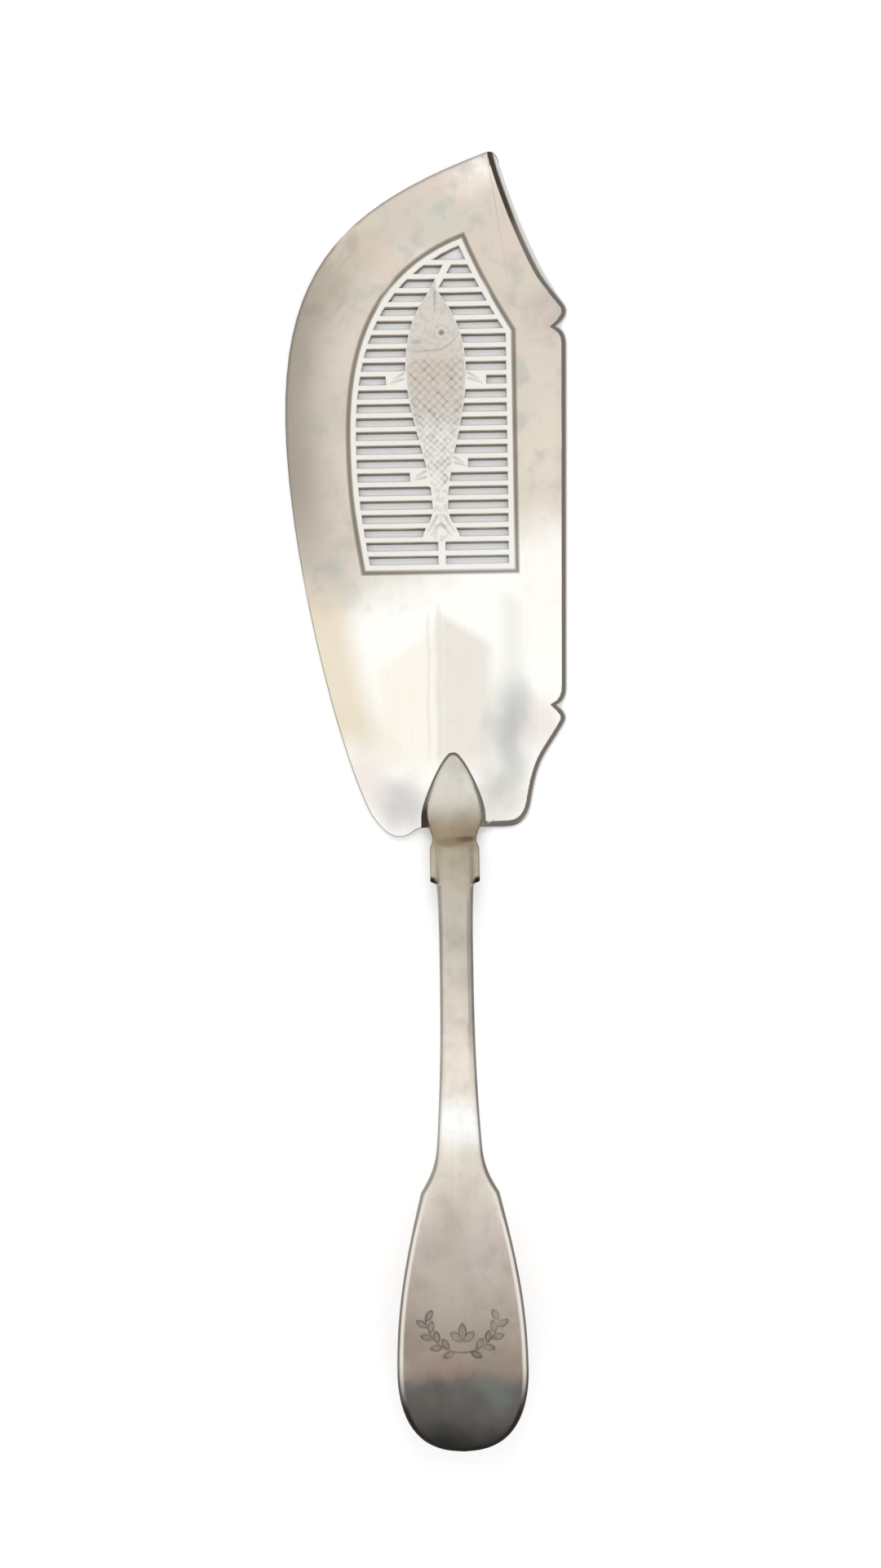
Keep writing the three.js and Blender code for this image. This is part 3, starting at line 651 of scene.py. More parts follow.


# Patches on the blade, stains and one painted highlight at the tip: middle, reach, tint and strength
BLADE_STAINS = (
    ((6.5, 143.5), (9.0, 6.5), (0.95, 0.885, 0.805), 0.9),
    # Painted highlight at the tip
    ((8.0, 144.6), (4.2, 3.2), (1.0, 0.965, 0.91), 0.95),
    ((14.5, 130.0), (9.0, 15.0), (0.73, 0.62, 0.54), 0.8),
    ((-7.5, 126.0), (6.0, 5.0), (0.8, 0.76, 0.69), 0.7),
    ((-18.2, 126.0), (10.0, 9.0), (0.69, 0.595, 0.48), 0.8),
    ((1.0, 135.0), (9.0, 7.0), (0.64, 0.62, 0.55), 0.7),
    ((-28.8, 122.7), (3.4, 6.5), (0.44, 0.4, 0.38), 0.5),
    ((-21.8, 128.3), (2.6, 4.6), (0.52, 0.42, 0.29), 0.55),
    ((-31.4, 113.2), (4.4, 2.2), (0.4, 0.33, 0.25), 0.55),
    ((-25.6, 117.4), (3.0, 3.4), (0.62, 0.47, 0.36), 0.5),
    ((-33.4, 100.0), (2.6, 8.0), (0.42, 0.385, 0.35), 0.4),
    ((23.0, 112.0), (8.0, 9.0), (0.5, 0.45, 0.43), 0.85),
    ((21.5, 78.0), (8.0, 30.0), (0.77, 0.71, 0.6), 0.8),
    ((-24.5, 89.0), (6.0, 11.0), (0.55, 0.495, 0.42), 0.45),
    ((-25.1, 51.0), (9.0, 11.0), (0.62, 0.605, 0.54), 0.8),
    ((21.8, 49.0), (8.5, 21.0), (1.0, 0.975, 0.91), 0.92),
    ((-20.1, 3.0), (8.0, 10.0), (0.88, 0.8, 0.745), 0.9),
    ((-12.6, -3.0), (10.0, 10.0), (0.63, 0.61, 0.59), 0.9),
    ((10.5, 0.0), (10.0, 12.0), (0.62, 0.615, 0.57), 0.9),
    ((13.6, 15.0), (7.5, 17.0), (0.5, 0.505, 0.49), 0.82),
    ((20.1, 16.0), (7.0, 9.0), (0.87, 0.785, 0.715), 0.7),
)

# Painted reflections on the lower blade, straight faint patches: corners, softness, tint and strength
BLADE_REFLECTIONS = (
    ((-17.5, 6.0), (-4.0, 38.0), 3.0, (0.955, 0.9, 0.79), 0.75),
    ((-3.2, 6.0), (9.0, 42.0), 2.2, (0.79, 0.735, 0.66), 0.75),
    ((-5.8, 8.0), (-5.2, 43.0), 0.5, (0.76, 0.74, 0.68), 0.6),
    ((-3.6, 8.0), (-2.4, 44.0), 0.6, (0.74, 0.715, 0.65), 0.5),
    ((12.0, 4.0), (17.0, 56.0), 2.6, (0.74, 0.74, 0.69), 0.45),
)

# Tints of the blade's wear, and of its painted reflections and shade, each with its strength
CLOUDED = (0.56, 0.5, 0.42), 0.2
# Warm band on the sloping cutting edge: partly tarnish, partly painted reflection
WARM_TARNISH_AND_REFLECTION = (0.8, 0.7, 0.53), 0.85
ROSY = (0.76, 0.63, 0.55), 0.55
GREYED = (0.5, 0.5, 0.45), 0.5
STREAKED = (0.5, 0.41, 0.31), 0.6
SPECKLED = (0.42, 0.38, 0.32), 0.22
BRUSHED = (0.6, 0.56, 0.5), 0.06
PANEL_RUBBED = (0.88, 0.865, 0.82), 0.85
SCALED = (0.64, 0.595, 0.535), 0.8
FISH_WORN = (0.5, 0.48, 0.43), 0.42
RUDDY = (0.66, 0.52, 0.44), 0.4
# Painted reflection on the bevel: light at its foot, dark along its crest and browner near the tip
BEVEL_FOOT_REFLECTION = (0.74, 0.73, 0.71), 0.9
BEVEL_CREST_DARK_REFLECTION = (0.12, 0.1, 0.08), 0.9
TIP_CREST_BROWN_REFLECTION = (0.055, 0.04, 0.028), 0.9
EDGE_STRENGTH = 0.85

# Patches that bound some of these tints: middle and reach
STREAK_PATCH = (-26.5, 118.0), (9.0, 15.0)
RUDDY_PATCH = (-2.6, 97.5), (6.5, 11.0)
HEEL_PATCH = (12.0, -8.0), (10.0, 9.0)
TIP_PATCH = (12.0, 146.0), (9.0, 30.0)

# Directions on the blade: up it at a slant, across the streaks, and along them, which is drawn out
SLANT = (-0.35, 1.0, 0.0)
ACROSS_STREAKS = (0.8, -0.6, 0.0)
ALONG_STREAKS = (0.14, 0.19, 0.0)


def blade_finish(look):
    """Old silver plate: rubbed bright below the panel, tarnished round the tip and the cutting edge, with
    painted shade along that edge and painted reflections on the lower blade and the bevel.
    """
    made = Finish("aged_silver")
    clouds = made.noise(0.05, 4.0)
    specks = made.noise(0.3, 4.0)
    brushed = made.noise(0.8, 3.0, (3.0, 0.04, 1.0))
    slant = made.vector("DOT_PRODUCT", made.wander, SLANT)
    upper = made.bend(slant, 46.0, 66.0)
    colour = made.blend(upper, tuple(look.clean), tuple(look.dull))
    colour = made.stain(colour, made.bend(clouds, 0.45, 0.7), *CLOUDED)
    # Painted reflections on the lower blade
    for low, high, soft, tint, strength in BLADE_REFLECTIONS:
        colour = made.stain(colour, made.field(low, high, soft), tint, strength)
    for centre, reach, tint, strength in BLADE_STAINS:
        colour = made.stain(colour, made.blot(centre, reach, 0.1), tint, strength)
    # Warm band, partly tarnish and partly painted reflection
    colour = made.stain(colour, made.attribute("warm"), *WARM_TARNISH_AND_REFLECTION)
    rosy = made.times(upper, made.bend(made.noise(0.11, 5.0), 0.48, 0.66))
    colour = made.stain(colour, rosy, *ROSY)
    grey = made.times(upper, made.bend(made.noise(0.16, 5.0, turn=0.6), 0.5, 0.68))
    colour = made.stain(colour, grey, *GREYED)
    # Tarnish along the cutting edge, with painted shade
    colour = made.stain(colour, made.attribute("edge"), tuple(look.tarnish_and_shade), EDGE_STRENGTH)
    # Brown streaks that run up and inwards from the cutting edge
    across = made.along(ACROSS_STREAKS)
    along = made.along(ALONG_STREAKS)
    lanes = made.node("ShaderNodeCombineXYZ", X=across, Y=along).outputs["Vector"]
    grain = made.node("ShaderNodeTexNoise", Vector=lanes, Scale=0.55, Detail=4.0).outputs["Fac"]
    streaks = made.times(made.bend(grain, 0.45, 0.66), made.blot(*STREAK_PATCH))
    colour = made.stain(colour, streaks, *STREAKED)
    speckled = made.times(made.bend(specks, 0.55, 0.78), made.bend(slant, 40.0, 66.0, 0.35, 1.0))
    colour = made.stain(colour, speckled, *SPECKLED)
    colour = made.stain(colour, made.bend(brushed, 0.4, 0.75), *BRUSHED)
    colour = made.stain(colour, made.attribute("rubbed"), *PANEL_RUBBED)
    colour = made.stain(colour, made.attribute("scales"), *SCALED)
    worn = made.times(made.attribute("fish"), made.bend(made.noise(1.0, 3.0), 0.46, 0.62))
    colour = made.stain(colour, worn, *FISH_WORN)
    ruddy = made.times(made.attribute("fish"), made.blot(*RUDDY_PATCH))
    colour = made.stain(colour, ruddy, *RUDDY)
    # Painted reflection on the bevel: light at its foot and dark along its crest, and dark all over beside
    # the heel
    bevel = made.attribute("bevel")
    height = made.along((0.0, 0.0, 1.0))
    crest = made.math("MAXIMUM", made.bend(height, 0.75, 1.05), made.blot(*HEEL_PATCH))
    crest = made.times(bevel, crest)
    colour = made.stain(colour, bevel, *BEVEL_FOOT_REFLECTION)
    colour = made.stain(colour, crest, *BEVEL_CREST_DARK_REFLECTION)
    # Painted dark reflection on the crest, browner near the tip
    tip_crest_reflection = made.times(crest, made.blot(*TIP_PATCH))
    colour = made.stain(colour, tip_crest_reflection, *TIP_CREST_BROWN_REFLECTION)
    # Dirt in the engraved lines, with painted shadow on the slots' walls and a painted dark line along the
    # rim
    colour = made.blend(made.attribute("patina_and_shade"), colour, tuple(look.patina_and_shade))
    rough = made.bend(brushed, 0.3, 0.7, look.roughness - 0.03, look.roughness + 0.05)
    rough = made.math("ADD", rough, made.bend(clouds, 0.4, 0.7, 0.0, 0.05))
    return made.finished(colour, rough, brushed, 0.03, 0.02 * MM)


# Tones of the handle's stretches, from its end to its heel, with a painted highlight over the arch and
# painted dark reflection at the end
HANDLE_TONES_AND_REFLECTIONS = (
    # Tip, dark end and its upper edge, partly tarnish and partly painted dark reflection
    (-151.0, (0.03, 0.03, 0.03)),
    (-138.0, (0.14, 0.13, 0.12)),
    (-130.0, (0.35, 0.29, 0.24)),
    # Fiddle and throat
    (-105.0, (0.55, 0.48, 0.43)),
    (-84.0, (0.81, 0.75, 0.66)),
    # Painted highlight over the crest of the arch
    (-75.0, (1.0, 1.0, 0.98)),
    # Foot and head of the stem
    (-66.0, (0.84, 0.77, 0.68)),
    (-27.0, (0.56, 0.52, 0.44)),
    # Shoulders, hollow and heel
    (-15.0, (0.51, 0.45, 0.35)),
    (-10.0, (0.36, 0.29, 0.2)),
    (0.0, (0.7, 0.67, 0.6)),
)

# Patches on the handle: middle, reach, tint and strength
HANDLE_STAINS = (
    ((2.9, -11.0), (3.2, 1.0), (0.14, 0.1, 0.06), 0.85),
    ((-0.8, -11.5), (5.2, 1.6), (0.22, 0.16, 0.09), 0.6),
    ((8.5, -136.5), (7.0, 5.0), (0.17, 0.2, 0.175), 0.6),
    ((-4.0, -131.0), (8.0, 4.0), (0.32, 0.225, 0.18), 0.5),
)

# Tints of the handle's wear, of the painted highlight on its flanks and of the painted shade on its sides,
# each with its strength
DULLED = (0.72, 0.7, 0.66), 0.4
MOTTLED = (0.7, 0.7, 0.68), 0.3
FLECKED = (0.6, 0.58, 0.55), 0.12
LINED = (0.8, 0.79, 0.77), 0.2
# Flanks rubbed bright, partly painted highlight
FLANK_RUBBED_AND_HIGHLIGHT = (0.97, 0.93, 0.86), 0.75
# Painted shade on the handle's steep sides
SIDE_SHADE = (0.1, 0.09, 0.075), 0.9

# The solder's paler clouds, and the darker patch at the heel's left foot
PALE_SOLDER = (0.31, 0.275, 0.225)
DARK_FOOT = (0.06, 0.045, 0.035), 0.95
DARK_FOOT_PATCH = (-8.0, -8.0), (5.0, 7.0)


def handle_finish(look):
    """Handled silver: dull and warm, darker in the hollow behind the heel and dark at the end, with painted
    highlight on the arch and flanks and painted shade on its sides.
    """
    made = Finish("worn_silver")
    clouds = made.noise(0.07, 4.0)
    specks = made.noise(0.5, 4.0)
    brushed = made.noise(0.8, 3.0, (3.0, 0.05, 1.0))
    along = made.along((0.0, 1.0, 0.0))
    # The dark end has a blotched edge
    drift = made.vector("DOT_PRODUCT", made.vector("SUBTRACT", made.wander, made.place), (0.0, 1.0, 0.0))
    blotched = made.times(drift, made.bend(along, -112.0, -124.0))
    colour = made.tones(made.math("ADD", along, blotched), HANDLE_TONES_AND_REFLECTIONS)
    colour = made.shade(colour, made.bend(clouds, 0.4, 0.7), *DULLED)
    for centre, reach, tint, strength in HANDLE_STAINS:
        colour = made.stain(colour, made.blot(centre, reach), tint, strength)
    colour = made.shade(colour, made.bend(made.noise(0.22, 5.0), 0.46, 0.68), *MOTTLED)
    colour = made.shade(colour, made.bend(specks, 0.55, 0.75), *FLECKED)
    colour = made.shade(colour, made.bend(brushed, 0.4, 0.75), *LINED)
    # Flanks rubbed bright, with a painted highlight
    colour = made.stain(colour, made.attribute("rubbed"), *FLANK_RUBBED_AND_HIGHLIGHT)
    # Painted shade on the steep sides
    colour = made.stain(colour, made.attribute("side"), *SIDE_SHADE)
    # Dirt in corners and the sprig, with painted shadow at the shoulders and painted dark reflection at the
    # end
    patina_and_shade = made.attribute("patina_and_shade")
    colour = made.blend(patina_and_shade, colour, tuple(look.patina_and_shade))
    rough = made.bend(clouds, 0.35, 0.7, look.roughness - 0.05, look.roughness + 0.07)
    rough = made.math("ADD", rough, made.times(patina_and_shade, 0.3))
    return made.finished(colour, rough, brushed, 0.04, 0.02 * MM)


def solder_finish(look):
    """Blackened solder, darkest at the heel's left foot."""
    made = Finish("dark_solder")
    colour = made.blend(made.bend(made.noise(0.8, 4.0), 0.45, 0.7), tuple(look.oxide), PALE_SOLDER)
    colour = made.stain(colour, made.blot(*DARK_FOOT_PATCH), *DARK_FOOT)
    rough = made.bend(made.noise(1.4, 3.0), 0.3, 0.7, 0.55, 0.75)
    return made.finished(colour, rough, made.noise(2.0, 3.0), 0.3, 0.05 * MM)


def put(name, data):
    """A new object in the scene."""
    made = bpy.data.objects.new(name, data)
    bpy.context.scene.collection.objects.link(made)
    return made


def put_mesh(name, bm):
    """A new object in the scene from a mesh that is done."""
    mesh = bpy.data.meshes.new(name)
    bm.to_mesh(mesh)
    bm.free()
    return put(name, mesh)


def add_piece(name, bm, material, node):
    """Puts a finished mesh in the scene, on the one body, in the place of a solid."""
    piece = put_mesh(name, bm)
    piece.data.materials.append(material)
    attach(piece, "root")
    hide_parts(node)


class Outline:
    """Measures how far places lie from the blade's outer outline."""

    def __init__(self, bm):
        points = []
        for edge in bm.edges:
            ends = [flat_place(v) for v in edge.verts]
            under = any(f.normal.z < -0.9 for f in edge.link_faces)
            if under and edge.calc_face_angle(0) > 1 and not any(inside(PANEL_BOX, end) for end in ends):
                count = max(1, round((ends[1] - ends[0]).length / OUTLINE_STEP))
                points += [ends[0].lerp(ends[1], i / count) for i in range(count)]
        self.tree = KDTree(len(points))
        for number, point in enumerate(points):
            self.tree.insert(point.to_3d(), number)
        self.tree.balance()

    def in_panel(self, place):
        """Whether a place lies in the pierced panel or on its engraved line."""
        return inside(PANEL_BOX, place) and self.measure(place)[0] > PANEL_MARGIN

    def measure(self, place):
        """Distance of a place from the outline, and whether the bevel runs along that part."""
        nearest, _, distance = self.tree.find(place.to_3d())
        return distance, nearest.x > SPINE_LEFT or (nearest.x > SPINE_LEFT_LOW and nearest.y < 0)


def band(reach, one_end, other_end, distance, y):
    """Strength of a worn band at a distance from the outline and a place along the blade."""
    return smooth(*reach, distance) * smooth(*one_end, y) * smooth(*other_end, y)


class MakeBlade(bpy.types.Operator):
    """Rounds the blade's edges and engraves its fish"""

    bl_idname = "fish_slice.make_blade"
    bl_label = "Make the blade"

    def execute(self, context):
        look = context.scene.blade_look
        bm = copy_of("blade")
        flatten(bm, 0.05)
        outline = Outline(bm)
        outer = [v for v in bm.verts if not outline.in_panel(flat_place(v))]
        bmesh.ops.remove_doubles(bm, verts=outer, dist=OUTLINE_MERGE * MM)
        self.level_top(bm)
        raised = [e for e in sharp_edges(bm, 25) if e.calc_face_angle_signed() > 0]
        pierced = [e for e in raised if outline.in_panel(edge_place(e))]
        round_edges(bm, pierced, look.slot_round, 2)
        foot = [e for e in self.outer_edges(bm, outline) if not self.is_crest(e)]
        round_edges(bm, foot, look.foot_round, 2)
        crest = [e for e in self.outer_edges(bm, outline) if self.is_crest(e)]
        round_edges(bm, crest, look.edge_round, 3)
        bm.normal_update()
        self.lean_walls(bm, outline, look.wall_lean)
        top = self.top_faces(bm) + self.taper_faces(bm, outline)
        top = bmesh.ops.triangulate(bm, faces=top)["faces"]
        top = cut_fine(bm, top, BLADE_BOX, BLADE_STEP, SQUARE)
        cut_fine(bm, top, FISH_BOX, FISH_STEP, SLANTED)
        bm.normal_update()
        cut_fine(bm, self.taper_faces(bm, outline), BLADE_BOX, EDGE_STEP, SQUARE)
        self.engrave(bm, look.cut_depth)
        self.age(bm, outline, look.edge_round / MM)
        for face in bm.faces:
            face.smooth = abs(face.normal.z) < LEVEL
        add_piece("pierced_blade", bm, blade_finish(look), "blade")
        return {"FINISHED"}

    def level_top(self, bm):
        """Puts corners of the upper face that the merge pulled down back at its height."""
        bm.normal_update()
        for vert in {v for f in bm.faces if f.normal.z > EXACT for v in f.verts}:
            if vert.co.z > (BLADE_TOP - 0.2) * MM:
                vert.co.z = BLADE_TOP * MM

    def lean_walls(self, bm, outline, lean):
        """Leans the slots' upper walls, so that they show from above, where their dark colour is a painted
        shadow.
        """
        upright = [f for f in bm.faces if f.normal.y < -0.6 and abs(f.normal.z) < 0.3]
        walls = [f for f in upright if outline.in_panel(face_place(f))]
        for vert in {v for f in walls for v in f.verts}:
            vert.co.y -= lean * (1.0 - vert.co.z / (BLADE_TOP * MM))

    def outer_edges(self, bm, outline):
        """Sharp edges outside the panel, without those at the tip's corner."""
        edges = [e for e in sharp_edges(bm, 20) if not any(outline.in_panel(flat_place(v)) for v in e.verts)]
        return [e for e in edges if all((flat_place(v) - TIP_CORNER).length > TIP_REACH for v in e.verts)]

    def is_crest(self, edge):
        """Whether an edge bounds the upper face."""
        return any(f.normal.z > CRESTED for f in edge.link_faces)

    def top_faces(self, bm):
        lowest = (BLADE_TOP - LINE_DROP) * MM
        return [f for f in bm.faces if f.normal.z > LEVEL and f.calc_center_median().z > lowest]

    def taper_faces(self, bm, outline):
        """The faces that slope gently down to the cutting edge."""
        top = set(self.top_faces(bm))
        sloped = [f for f in bm.faces if f.normal.z > GENTLE and f not in top]
        return [f for f in sloped if not outline.in_panel(face_place(f))]

    def engrave(self, bm, full_depth):
        """Sinks the fish's lines into the upper face, and marks the panel inside its engraved line."""
        patina_and_shade, rubbed, scales, fish = new_layers(bm, "patina_and_shade", "rubbed", "scales", "fish")
        top = self.top_faces(bm)
        start = min(top, key=lambda f: (face_place(f) - FISH_MIDDLE).length)
        for vert in {v for f in flood(top, start) for v in f.verts}:
            x, y = flat_place(vert)
            vert[rubbed] = 1.0
            if not inside(FISH_BOX, Vector((x, y))) or any(f.normal.z < LEVEL for f in vert.link_faces):
                continue
            across = x - fish_axis(y)
            half = between(BODY, y)
            if abs(across) < half + 0.1:
                vert[fish] = smooth(half + 0.1, half - 0.4, abs(across))
                vert[scales] = vert[fish] * smooth(82.0, 90.0, y)
            lattice = scale_relief(x, y, across, half)
            lines = line_relief(across, y, half)
            vert.co.z -= max(lattice, lines) * full_depth
            vert[patina_and_shade] = max(0.6 * lattice, 0.55 * lines)

    def age(self, bm, outline, rim):
        """Marks the dirt in the panel's line, painted shadow on the slots' walls, the bevel for its painted
        reflection, a painted dark line along the rim, and the cutting edge with its painted shade and warm
        band.
        """
        patina_and_shade = bm.verts.layers.float["patina_and_shade"]
        edge, warm, bevel = new_layers(bm, "edge", "warm", "bevel")
        for vert in bm.verts:
            place = flat_place(vert)
            height = vert.co.z / MM
            drop = BLADE_TOP - height
            distance, bevelled = outline.measure(place)
            if not bevelled:
                vert[edge] = band(*EDGE_BAND, distance, place.y)
                vert[warm] = band(*WARM_BAND, distance, place.y)
            if outline.in_panel(place):
                if all(f.normal.z > 0.7 for f in vert.link_faces):
                    if drop > GROOVE_DROP:
                        vert[patina_and_shade] = 0.85
                    elif drop > LINE_DROP and not inside(FISH_BOX, place):
                        vert[patina_and_shade] = 0.5
                # The slots' walls are dark, a painted shadow along each slot
                elif height > 0.1:
                    vert[patina_and_shade] = 0.9 if drop > WALL_DROP else 0.3 * smooth(0.0, 0.1, drop)
            # The bevel, which carries a painted reflection
            elif bevelled:
                steep = any(f.normal.z < STEEP for f in vert.link_faces) and drop > 0.002
                vert[bevel] = 1.0 if steep or inside(BEVEL_START, place) else 0.0
            # Painted shade along the rounded rim, with a faint fringe towards the tip
            elif height > 0.3 and distance < rim + RIM_FADE:
                faded = 0.4 * smooth(60.0, 100.0, place.y) * smooth(rim + RIM_FADE, rim, distance)
                vert[patina_and_shade] = 0.65 if distance < 0.7 * rim else faded


class MakeHandle(bpy.types.Operator):
    """Smooths the cranked fiddle handle and engraves its sprig"""

    bl_idname = "fish_slice.make_handle"
    bl_label = "Make the handle"

    def execute(self, context):
        look = context.scene.handle_look
        bm = self.refined(context)
        self.age(bm)
        patina_and_shade = bm.verts.layers.float["patina_and_shade"]
        top = [f for f in bm.faces if f.normal.z > 0.8]
        cells = cut_fine(bm, top, SPRIG_BOX, SPRIG_STEP, SLANTED)
        for vert in {v for f in cells for v in f.verts}:
            x, y = flat_place(vert)
            depth = sprig_relief(x, y) * (0.75 + 0.5 * noise.noise((x * 0.3, y * 0.3, 4.0)))
            vert.co.z -= depth * look.cut_depth
            vert[patina_and_shade] = max(vert[patina_and_shade], 0.95 * depth)
        for face in bm.faces:
            face.smooth = True
        add_piece("fiddle_handle", bm, handle_finish(look), "handle")
        return {"FINISHED"}

    def age(self, bm):
        """Marks the dirt in hollow corners, painted shadow at the shoulders' corners, painted dark reflection
        at the end, painted shade on the sides, and flanks rubbed bright with a painted highlight.
        """
        patina_and_shade, side, rubbed = new_layers(bm, "patina_and_shade", "side", "rubbed")
        bm.normal_update()
        for edge in bm.edges:
            if edge.is_manifold:
                hollow = smooth(*HOLLOW_ANGLE, -math.degrees(edge.calc_face_angle_signed()))
                for vert in edge.verts:
                    vert[patina_and_shade] = max(vert[patina_and_shade], 0.2 * hollow)
        for vert in bm.verts:
            place = flat_place(vert)
            # Painted shadow at the lower corners of the shoulders
            near = min((place - corner).length for corner in SHOULDER_CORNERS)
            vert[patina_and_shade] = max(vert[patina_and_shade], smooth(*CORNER_REACH, near))
            tilt = math.degrees(math.acos(max(-1.0, min(1.0, vert.normal.z))))
            sooner = THROAT_TILT * smooth(*THROAT_REACH, abs(place.y - THROAT))
            over = smooth(*UNDERSIDE_TILT, tilt)
            rim = smooth(RIM_TILT[0] - sooner, RIM_TILT[1] - sooner, tilt) * over
            rim *= 1.0 if vert.normal.x > 0 else 0.8
            upright = smooth(*UPRIGHT_TILT, tilt)
            sideways = abs(vert.normal.x) > abs(vert.normal.y)
            flank = smooth(*FLANK_RISE, tilt) * smooth(*FLANK_FALL, tilt) if sideways else 0.0
            ribbed = place.y > NECK_RUN[0] and abs(place.x) < RIB_HALF
            # Painted shade on the steep sides, less on the neck's rib and on the heel
            vert[side] = rim * (0.3 if ribbed else 1.0 - 0.5 * upright)
            if place.y > NECK_RUN[1]:
                vert[side] *= 0.6
            # Painted dark reflection round the rim and the tip at the end
            end = smooth(*END_RUN, place.y)
            tip = smooth(*TIP_TILT, tilt) * smooth(*TIP_RUN, place.y)
            vert[patina_and_shade] = max(vert[patina_and_shade], 0.85 * rim * end, tip)
            # Flanks rubbed bright, partly painted highlight
            vert[rubbed] = flank * smooth(*FLANK_RUN, place.y) * (1.0 - end)
            # Along the stem the right flank gets painted shade and the left one a little painted highlight
            stem = smooth(*STEM_TOP, place.y) * smooth(*STEM_FOOT, place.y)
            if sideways and vert.normal.x > 0:
                vert[side] = max(vert[side], 0.42 * stem * smooth(*STEM_TILT, tilt) * over)
            else:
                vert[rubbed] = max(vert[rubbed], 0.2 * stem * flank)

    def refined(self, context):
        """A copy of the solid with a smooth skin and crisp shoulders."""
        bm = copy_of("handle")
        bmesh.ops.join_triangles(
            bm, faces=bm.faces, angle_face_threshold=math.radians(40), angle_shape_threshold=math.radians(80),
        )
        crease = bm.edges.layers.float.new("crease_edge")
        for edge in sharp_edges(bm, 18):
            neck = all(NECK_RUN[0] < flat_place(v).y < NECK_RUN[1] for v in edge.verts)
            edge[crease] = NECK_CREASE if neck else EDGE_CREASE
        for edge in bm.edges:
            if all(abs(flat_place(v).y - THROAT) < 0.2 for v in edge.verts):
                edge[crease] = max(edge[crease], THROAT_CREASE)
        skin = put_mesh("handle_skin", bm)
        mesh = skin.data
        smoothing = skin.modifiers.new("Smooth loft", "SUBSURF")
        smoothing.levels = 2
        smoothing.render_levels = 2
        smooth_skin = bmesh.new()
        smooth_skin.from_object(skin, context.evaluated_depsgraph_get())
        bpy.data.objects.remove(skin)
        bpy.data.meshes.remove(mesh)
        return smooth_skin


class MakeSolder(bpy.types.Operator):
    """Raises the solder film into a bead round the heel"""

    bl_idname = "fish_slice.make_solder"
    bl_label = "Make the solder bead"

    def execute(self, context):
        look = context.scene.solder_look
        bm = copy_of("heel_solder")
        flatten(bm, 0.5)
        top = [f for f in bm.faces if f.normal.z > 0.9]
        bmesh.ops.inset_region(bm, faces=top, thickness=BEAD_INSET * MM, depth=0)
        raised = {v for f in top for v in f.verts}
        for vert in bm.verts:
            x, y = flat_place(vert)
            lump = smooth(*LUMP_ACROSS, x) * smooth(*LUMP_ALONG, y)
            if vert in raised:
                vert.co.z += look.rise + lump * look.lump
                vert.co.x += lump * LUMP_SHIFT * MM
            else:
                vert.co.x -= lump * look.spread
        for face in bm.faces:
            face.smooth = abs(face.normal.z) < 0.98
        add_piece("solder_bead", bm, solder_finish(look), "heel_solder")
        return {"FINISHED"}


# Floor, soft light beyond the tip, and camera, in metres
FLOOR_RADIUS = 20.0
FLOOR_DROP = 0.02 * MM
KEY_PLACE = (0.0, 1.57, 1.87)
KEY_LAMP = 0.86
CAMERA_PLACE = (-3.02 * MM, 1.955 * MM)

# Bearings of the low lights, none of which shines along the slots
RING = (45, 90, 135, 225, 270, 315)
RING_REACH = 5.0
RING_RISE = 0.47
RING_LAMP = 2.3

# The sky's range from the horizon to where it is brightest: heights, then strengths
SKY_RANGE = (0.0, 0.8, 0.8, 1.03)


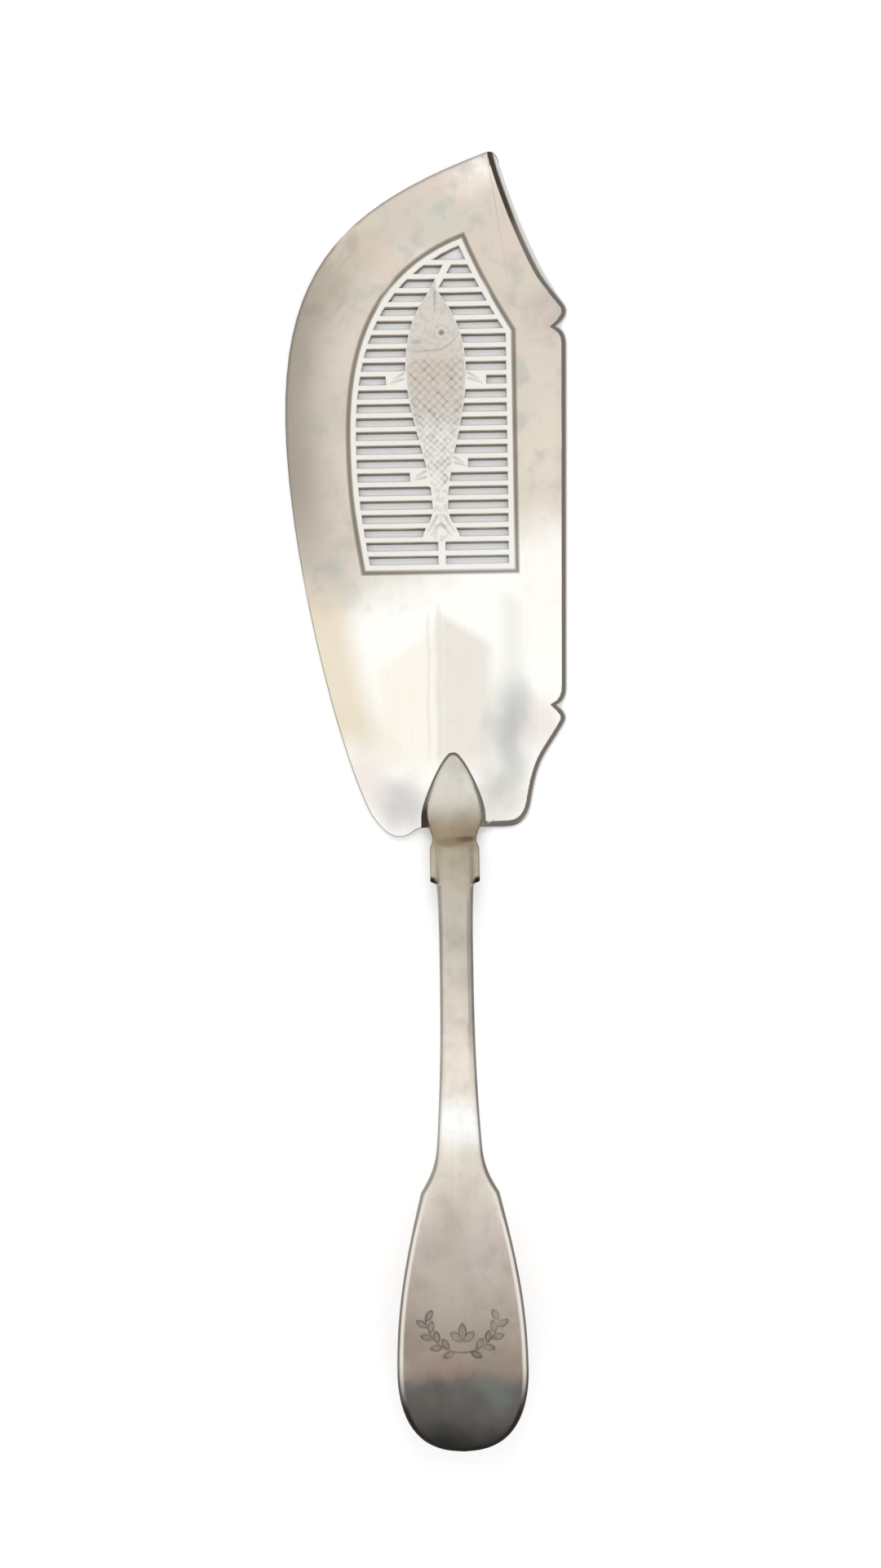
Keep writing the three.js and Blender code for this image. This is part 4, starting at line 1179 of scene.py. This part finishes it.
class MakeStage(bpy.types.Operator):
    """Sets the pale floor, the soft light and the camera"""

    bl_idname = "fish_slice.make_stage"
    bl_label = "Make the stage"

    def execute(self, context):
        look = context.scene.stage_look
        bm = bmesh.new()
        bmesh.ops.create_circle(bm, cap_ends=True, segments=96, radius=FLOOR_RADIUS)
        for vert in bm.verts:
            vert.co.z = -FLOOR_DROP
        pale = bpy.data.materials.new("pale_floor")
        pale.use_nodes = True
        shader = pale.node_tree.nodes["Principled BSDF"]
        shader.inputs["Base Color"].default_value = (0.9, 0.9, 0.9, 1.0)
        shader.inputs["Roughness"].default_value = 0.9
        shader.inputs["Specular IOR Level"].default_value = 0.0
        floor = put_mesh("floor", bm)
        floor.data.materials.append(pale)
        self.sky(context.scene, look.sky)
        self.lamp("key", KEY_PLACE, KEY_LAMP, look.key_power)
        for degrees in RING:
            turn = math.radians(degrees)
            place = Vector((math.cos(turn), math.sin(turn), RING_RISE)) * RING_REACH
            self.lamp(f"fill_{degrees}", place, RING_LAMP, look.fill_power / len(RING))
        self.camera(context.scene, look)
        context.scene.view_settings.view_transform = "Standard"
        context.scene.view_settings.look = "None"
        return {"FINISHED"}

    def sky(self, scene, strength):
        """Even white light, a little dimmer towards the horizon."""
        world = bpy.data.worlds.new("studio")
        world.use_nodes = True
        tree = world.node_tree
        coords = tree.nodes.new("ShaderNodeTexCoord")
        split = tree.nodes.new("ShaderNodeSeparateXYZ")
        tree.links.new(coords.outputs["Generated"], split.inputs["Vector"])
        dimmed = tree.nodes.new("ShaderNodeMapRange")
        dimmed.interpolation_type = "SMOOTHSTEP"
        tree.links.new(split.outputs["Z"], dimmed.inputs["Value"])
        for name, number in zip(RANGE_SOCKETS, SKY_RANGE):
            dimmed.inputs[name].default_value = number
        tree.links.new(dimmed.outputs["Result"], tree.nodes["Background"].inputs["Strength"])
        tree.nodes["Background"].inputs["Color"].default_value = (strength, strength, strength, 1.0)
        scene.world = world

    def lamp(self, name, place, size, power):
        """A soft round light, which lights the floor and doesn't mirror in the metal."""
        light = bpy.data.lights.new(name, "AREA")
        light.shape = "DISK"
        light.size = size
        light.energy = power
        lamp = put(name, light)
        lamp.location = place
        lamp.rotation_euler = (-lamp.location).to_track_quat("-Z", "Y").to_euler()
        lamp.visible_camera = False
        lamp.visible_glossy = False

    def camera(self, scene, look):
        lens = bpy.data.cameras.new("photo_view")
        lens.lens = look.lens
        lens.sensor_width = 36.0
        eye = put("photo_view", lens)
        eye.location = (*CAMERA_PLACE, look.eye_height)
        eye.rotation_euler = (0.0, 0.0, look.turn)
        scene.camera = eye


class FishSlicePanel(bpy.types.Panel):
    """Lists the steps that dress the fish slice"""

    bl_idname = "VIEW3D_PT_fish_slice"
    bl_label = "Fish slice"
    bl_space_type = "VIEW_3D"
    bl_region_type = "UI"
    bl_category = "Fish slice"

    def draw(self, context):
        for step in STEPS:
            self.layout.operator(step.bl_idname)


LOOKS = {
    "blade_look": BladeLook,
    "handle_look": HandleLook,
    "solder_look": SolderLook,
    "stage_look": StageLook,
}
STEPS = (MakeBlade, MakeHandle, MakeSolder, MakeStage)


def register():
    for name, look in LOOKS.items():
        bpy.utils.register_class(look)
        setattr(bpy.types.Scene, name, PointerProperty(type=look))
    for step in (*STEPS, FishSlicePanel):
        bpy.utils.register_class(step)


def unregister():
    for step in (FishSlicePanel, *reversed(STEPS)):
        bpy.utils.unregister_class(step)
    for name, look in LOOKS.items():
        delattr(bpy.types.Scene, name)
        bpy.utils.unregister_class(look)


def main():
    register()
    bpy.ops.fish_slice.make_blade()
    bpy.ops.fish_slice.make_handle()
    bpy.ops.fish_slice.make_solder()
    bpy.ops.fish_slice.make_stage()


if __name__ == "__main__":
    main()
